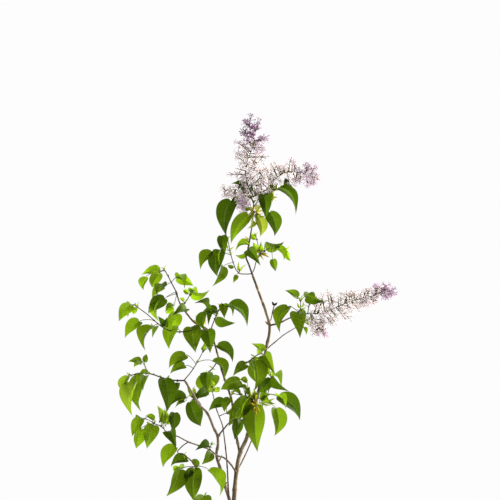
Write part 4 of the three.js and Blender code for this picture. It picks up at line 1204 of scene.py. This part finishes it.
def soil_height(x, y):
    """The surface of the soil, with clods and a low mound round the stem."""
    spot = Vector((x, y, 0))
    mound = 3.2 * math.exp(-((math.hypot(x + 8, y) / 24) ** 2))
    return (SOIL_LEVEL - 1.5 + mound + 2.0 * noise.noise(spot * 0.045)
            + 1.3 * noise.noise(spot * 0.16) + 0.7 * noise.noise(spot * 0.5))


def make_soil():
    """The uneven bed that fills the pot, and the crumbs on it."""
    inner = POT["rim"] - POT["wall"] - 4 + 2 * (SOIL_LEVEL - BAND) / POT["rim_height"]
    rows = [circle(inner * (i / SOIL_RINGS), 0, SOIL_SIDES) for i in range(1, SOIL_RINGS + 1)]
    for point in (v for row in rows for v in row):
        point.z = soil_height(point.x, point.y)
    rows.append([Vector((v.x * 0.985, v.y * 0.985, SOIL_LEVEL - 14)) for v in rows[-1]])
    bed = Piece()
    bed.grid(rows, closed=True)
    bed.faces.append(tuple(range(SOIL_SIDES)))
    bed.build("soil_bed", SOIL, "soil", ["soil"])
    crumbs, random = Piece(), Random(5)
    for _ in range(CRUMBS):
        radius = (inner - 4) * math.sqrt(random.random())
        spot = polar(radius, random.uniform(0, math.tau))
        size = random.uniform(0.8, 3.2) * random.choice([0.6, 1, 1])
        spot.z = soil_height(spot.x, spot.y) + 0.25 * size
        turn = any_direction(random)
        points = [spot + turn * (size * s) for s in (-0.8, -0.35, 0.35, 0.8)]
        radii = [0.35 * size, 0.9 * size, random.uniform(0.6, 1) * size, 0.3 * size]
        crumbs.tube(rings_along(points, radii, 5, any_direction(random)))
    crumbs.build("soil_crumbs", CRUMB, "soil", ["soil"])


make_pot()
make_soil()


# ------------------------------------------------------------------ studio, in metres
SKY = (0.985, 0.98, 0.985)
SKY_LIGHT = 0.28  # of the white surroundings, which the camera sees at 1
CAMERA_PLACE = (0.03, -8.0, 0.78)
LIGHTS_AIM = Vector((0, 0, 0.7))
# Each light: its name, place, power, size and colour.
LIGHTS = [
    ("key", (2.6, 1.2, 1.9), 520, 1.4, (1, 0.98, 0.94)),
    ("back", (-1.8, 2.4, 2.0), 120, 1.2, WHITE),
]


def make_floor():
    """A disc of 4 m radius, just under the pot."""
    disc, sides = Piece(), 96
    disc.add(circle(4.0 / MM, -0.4, sides), [tuple(range(sides))])
    mesh = disc.mesh("floor")
    mesh.materials.append(plain_material("floor", (0.84, 0.84, 0.85), (0.88, 0.88, 0.88), 2, 0.9,
                                         0.1, bump=0.02))
    added("floor", mesh)


def make_light(name, place, energy, size, colour):
    data = bpy.data.lights.new(name, "AREA")
    data.energy, data.size, data.color = energy, size, colour
    lamp = added(name, data)
    lamp.location = place
    lamp.rotation_mode = "QUATERNION"
    lamp.rotation_quaternion = (LIGHTS_AIM - Vector(place)).to_track_quat("-Z", "Y")


def make_world():
    """White surroundings, seen at full strength but lighting the bush less."""
    world = bpy.data.worlds.new("studio")
    world.use_nodes = True
    tree = world.node_tree
    lighting = tree.nodes["Background"]
    lighting.inputs["Color"].default_value = (*SKY, 1)
    lighting.inputs["Strength"].default_value = SKY_LIGHT
    seen = new_node(tree, "Background", Color=SKY)
    by_camera = new_node(tree, "LightPath").outputs["Is Camera Ray"]
    join_shaders(tree, by_camera, lighting, seen, "World Output")
    bpy.context.scene.world = world


def make_camera():
    lens = bpy.data.cameras.new("camera")
    lens.lens, lens.sensor_width, lens.clip_end = 288, 36, 60
    camera = added("camera", lens)
    camera.location = CAMERA_PLACE
    camera.rotation_euler = (math.pi / 2, 0, 0)
    bpy.context.scene.camera = camera


make_floor()
make_world()
make_camera()
for light in LIGHTS:
    make_light(*light)
bpy.context.scene.view_settings.view_transform = "Standard"
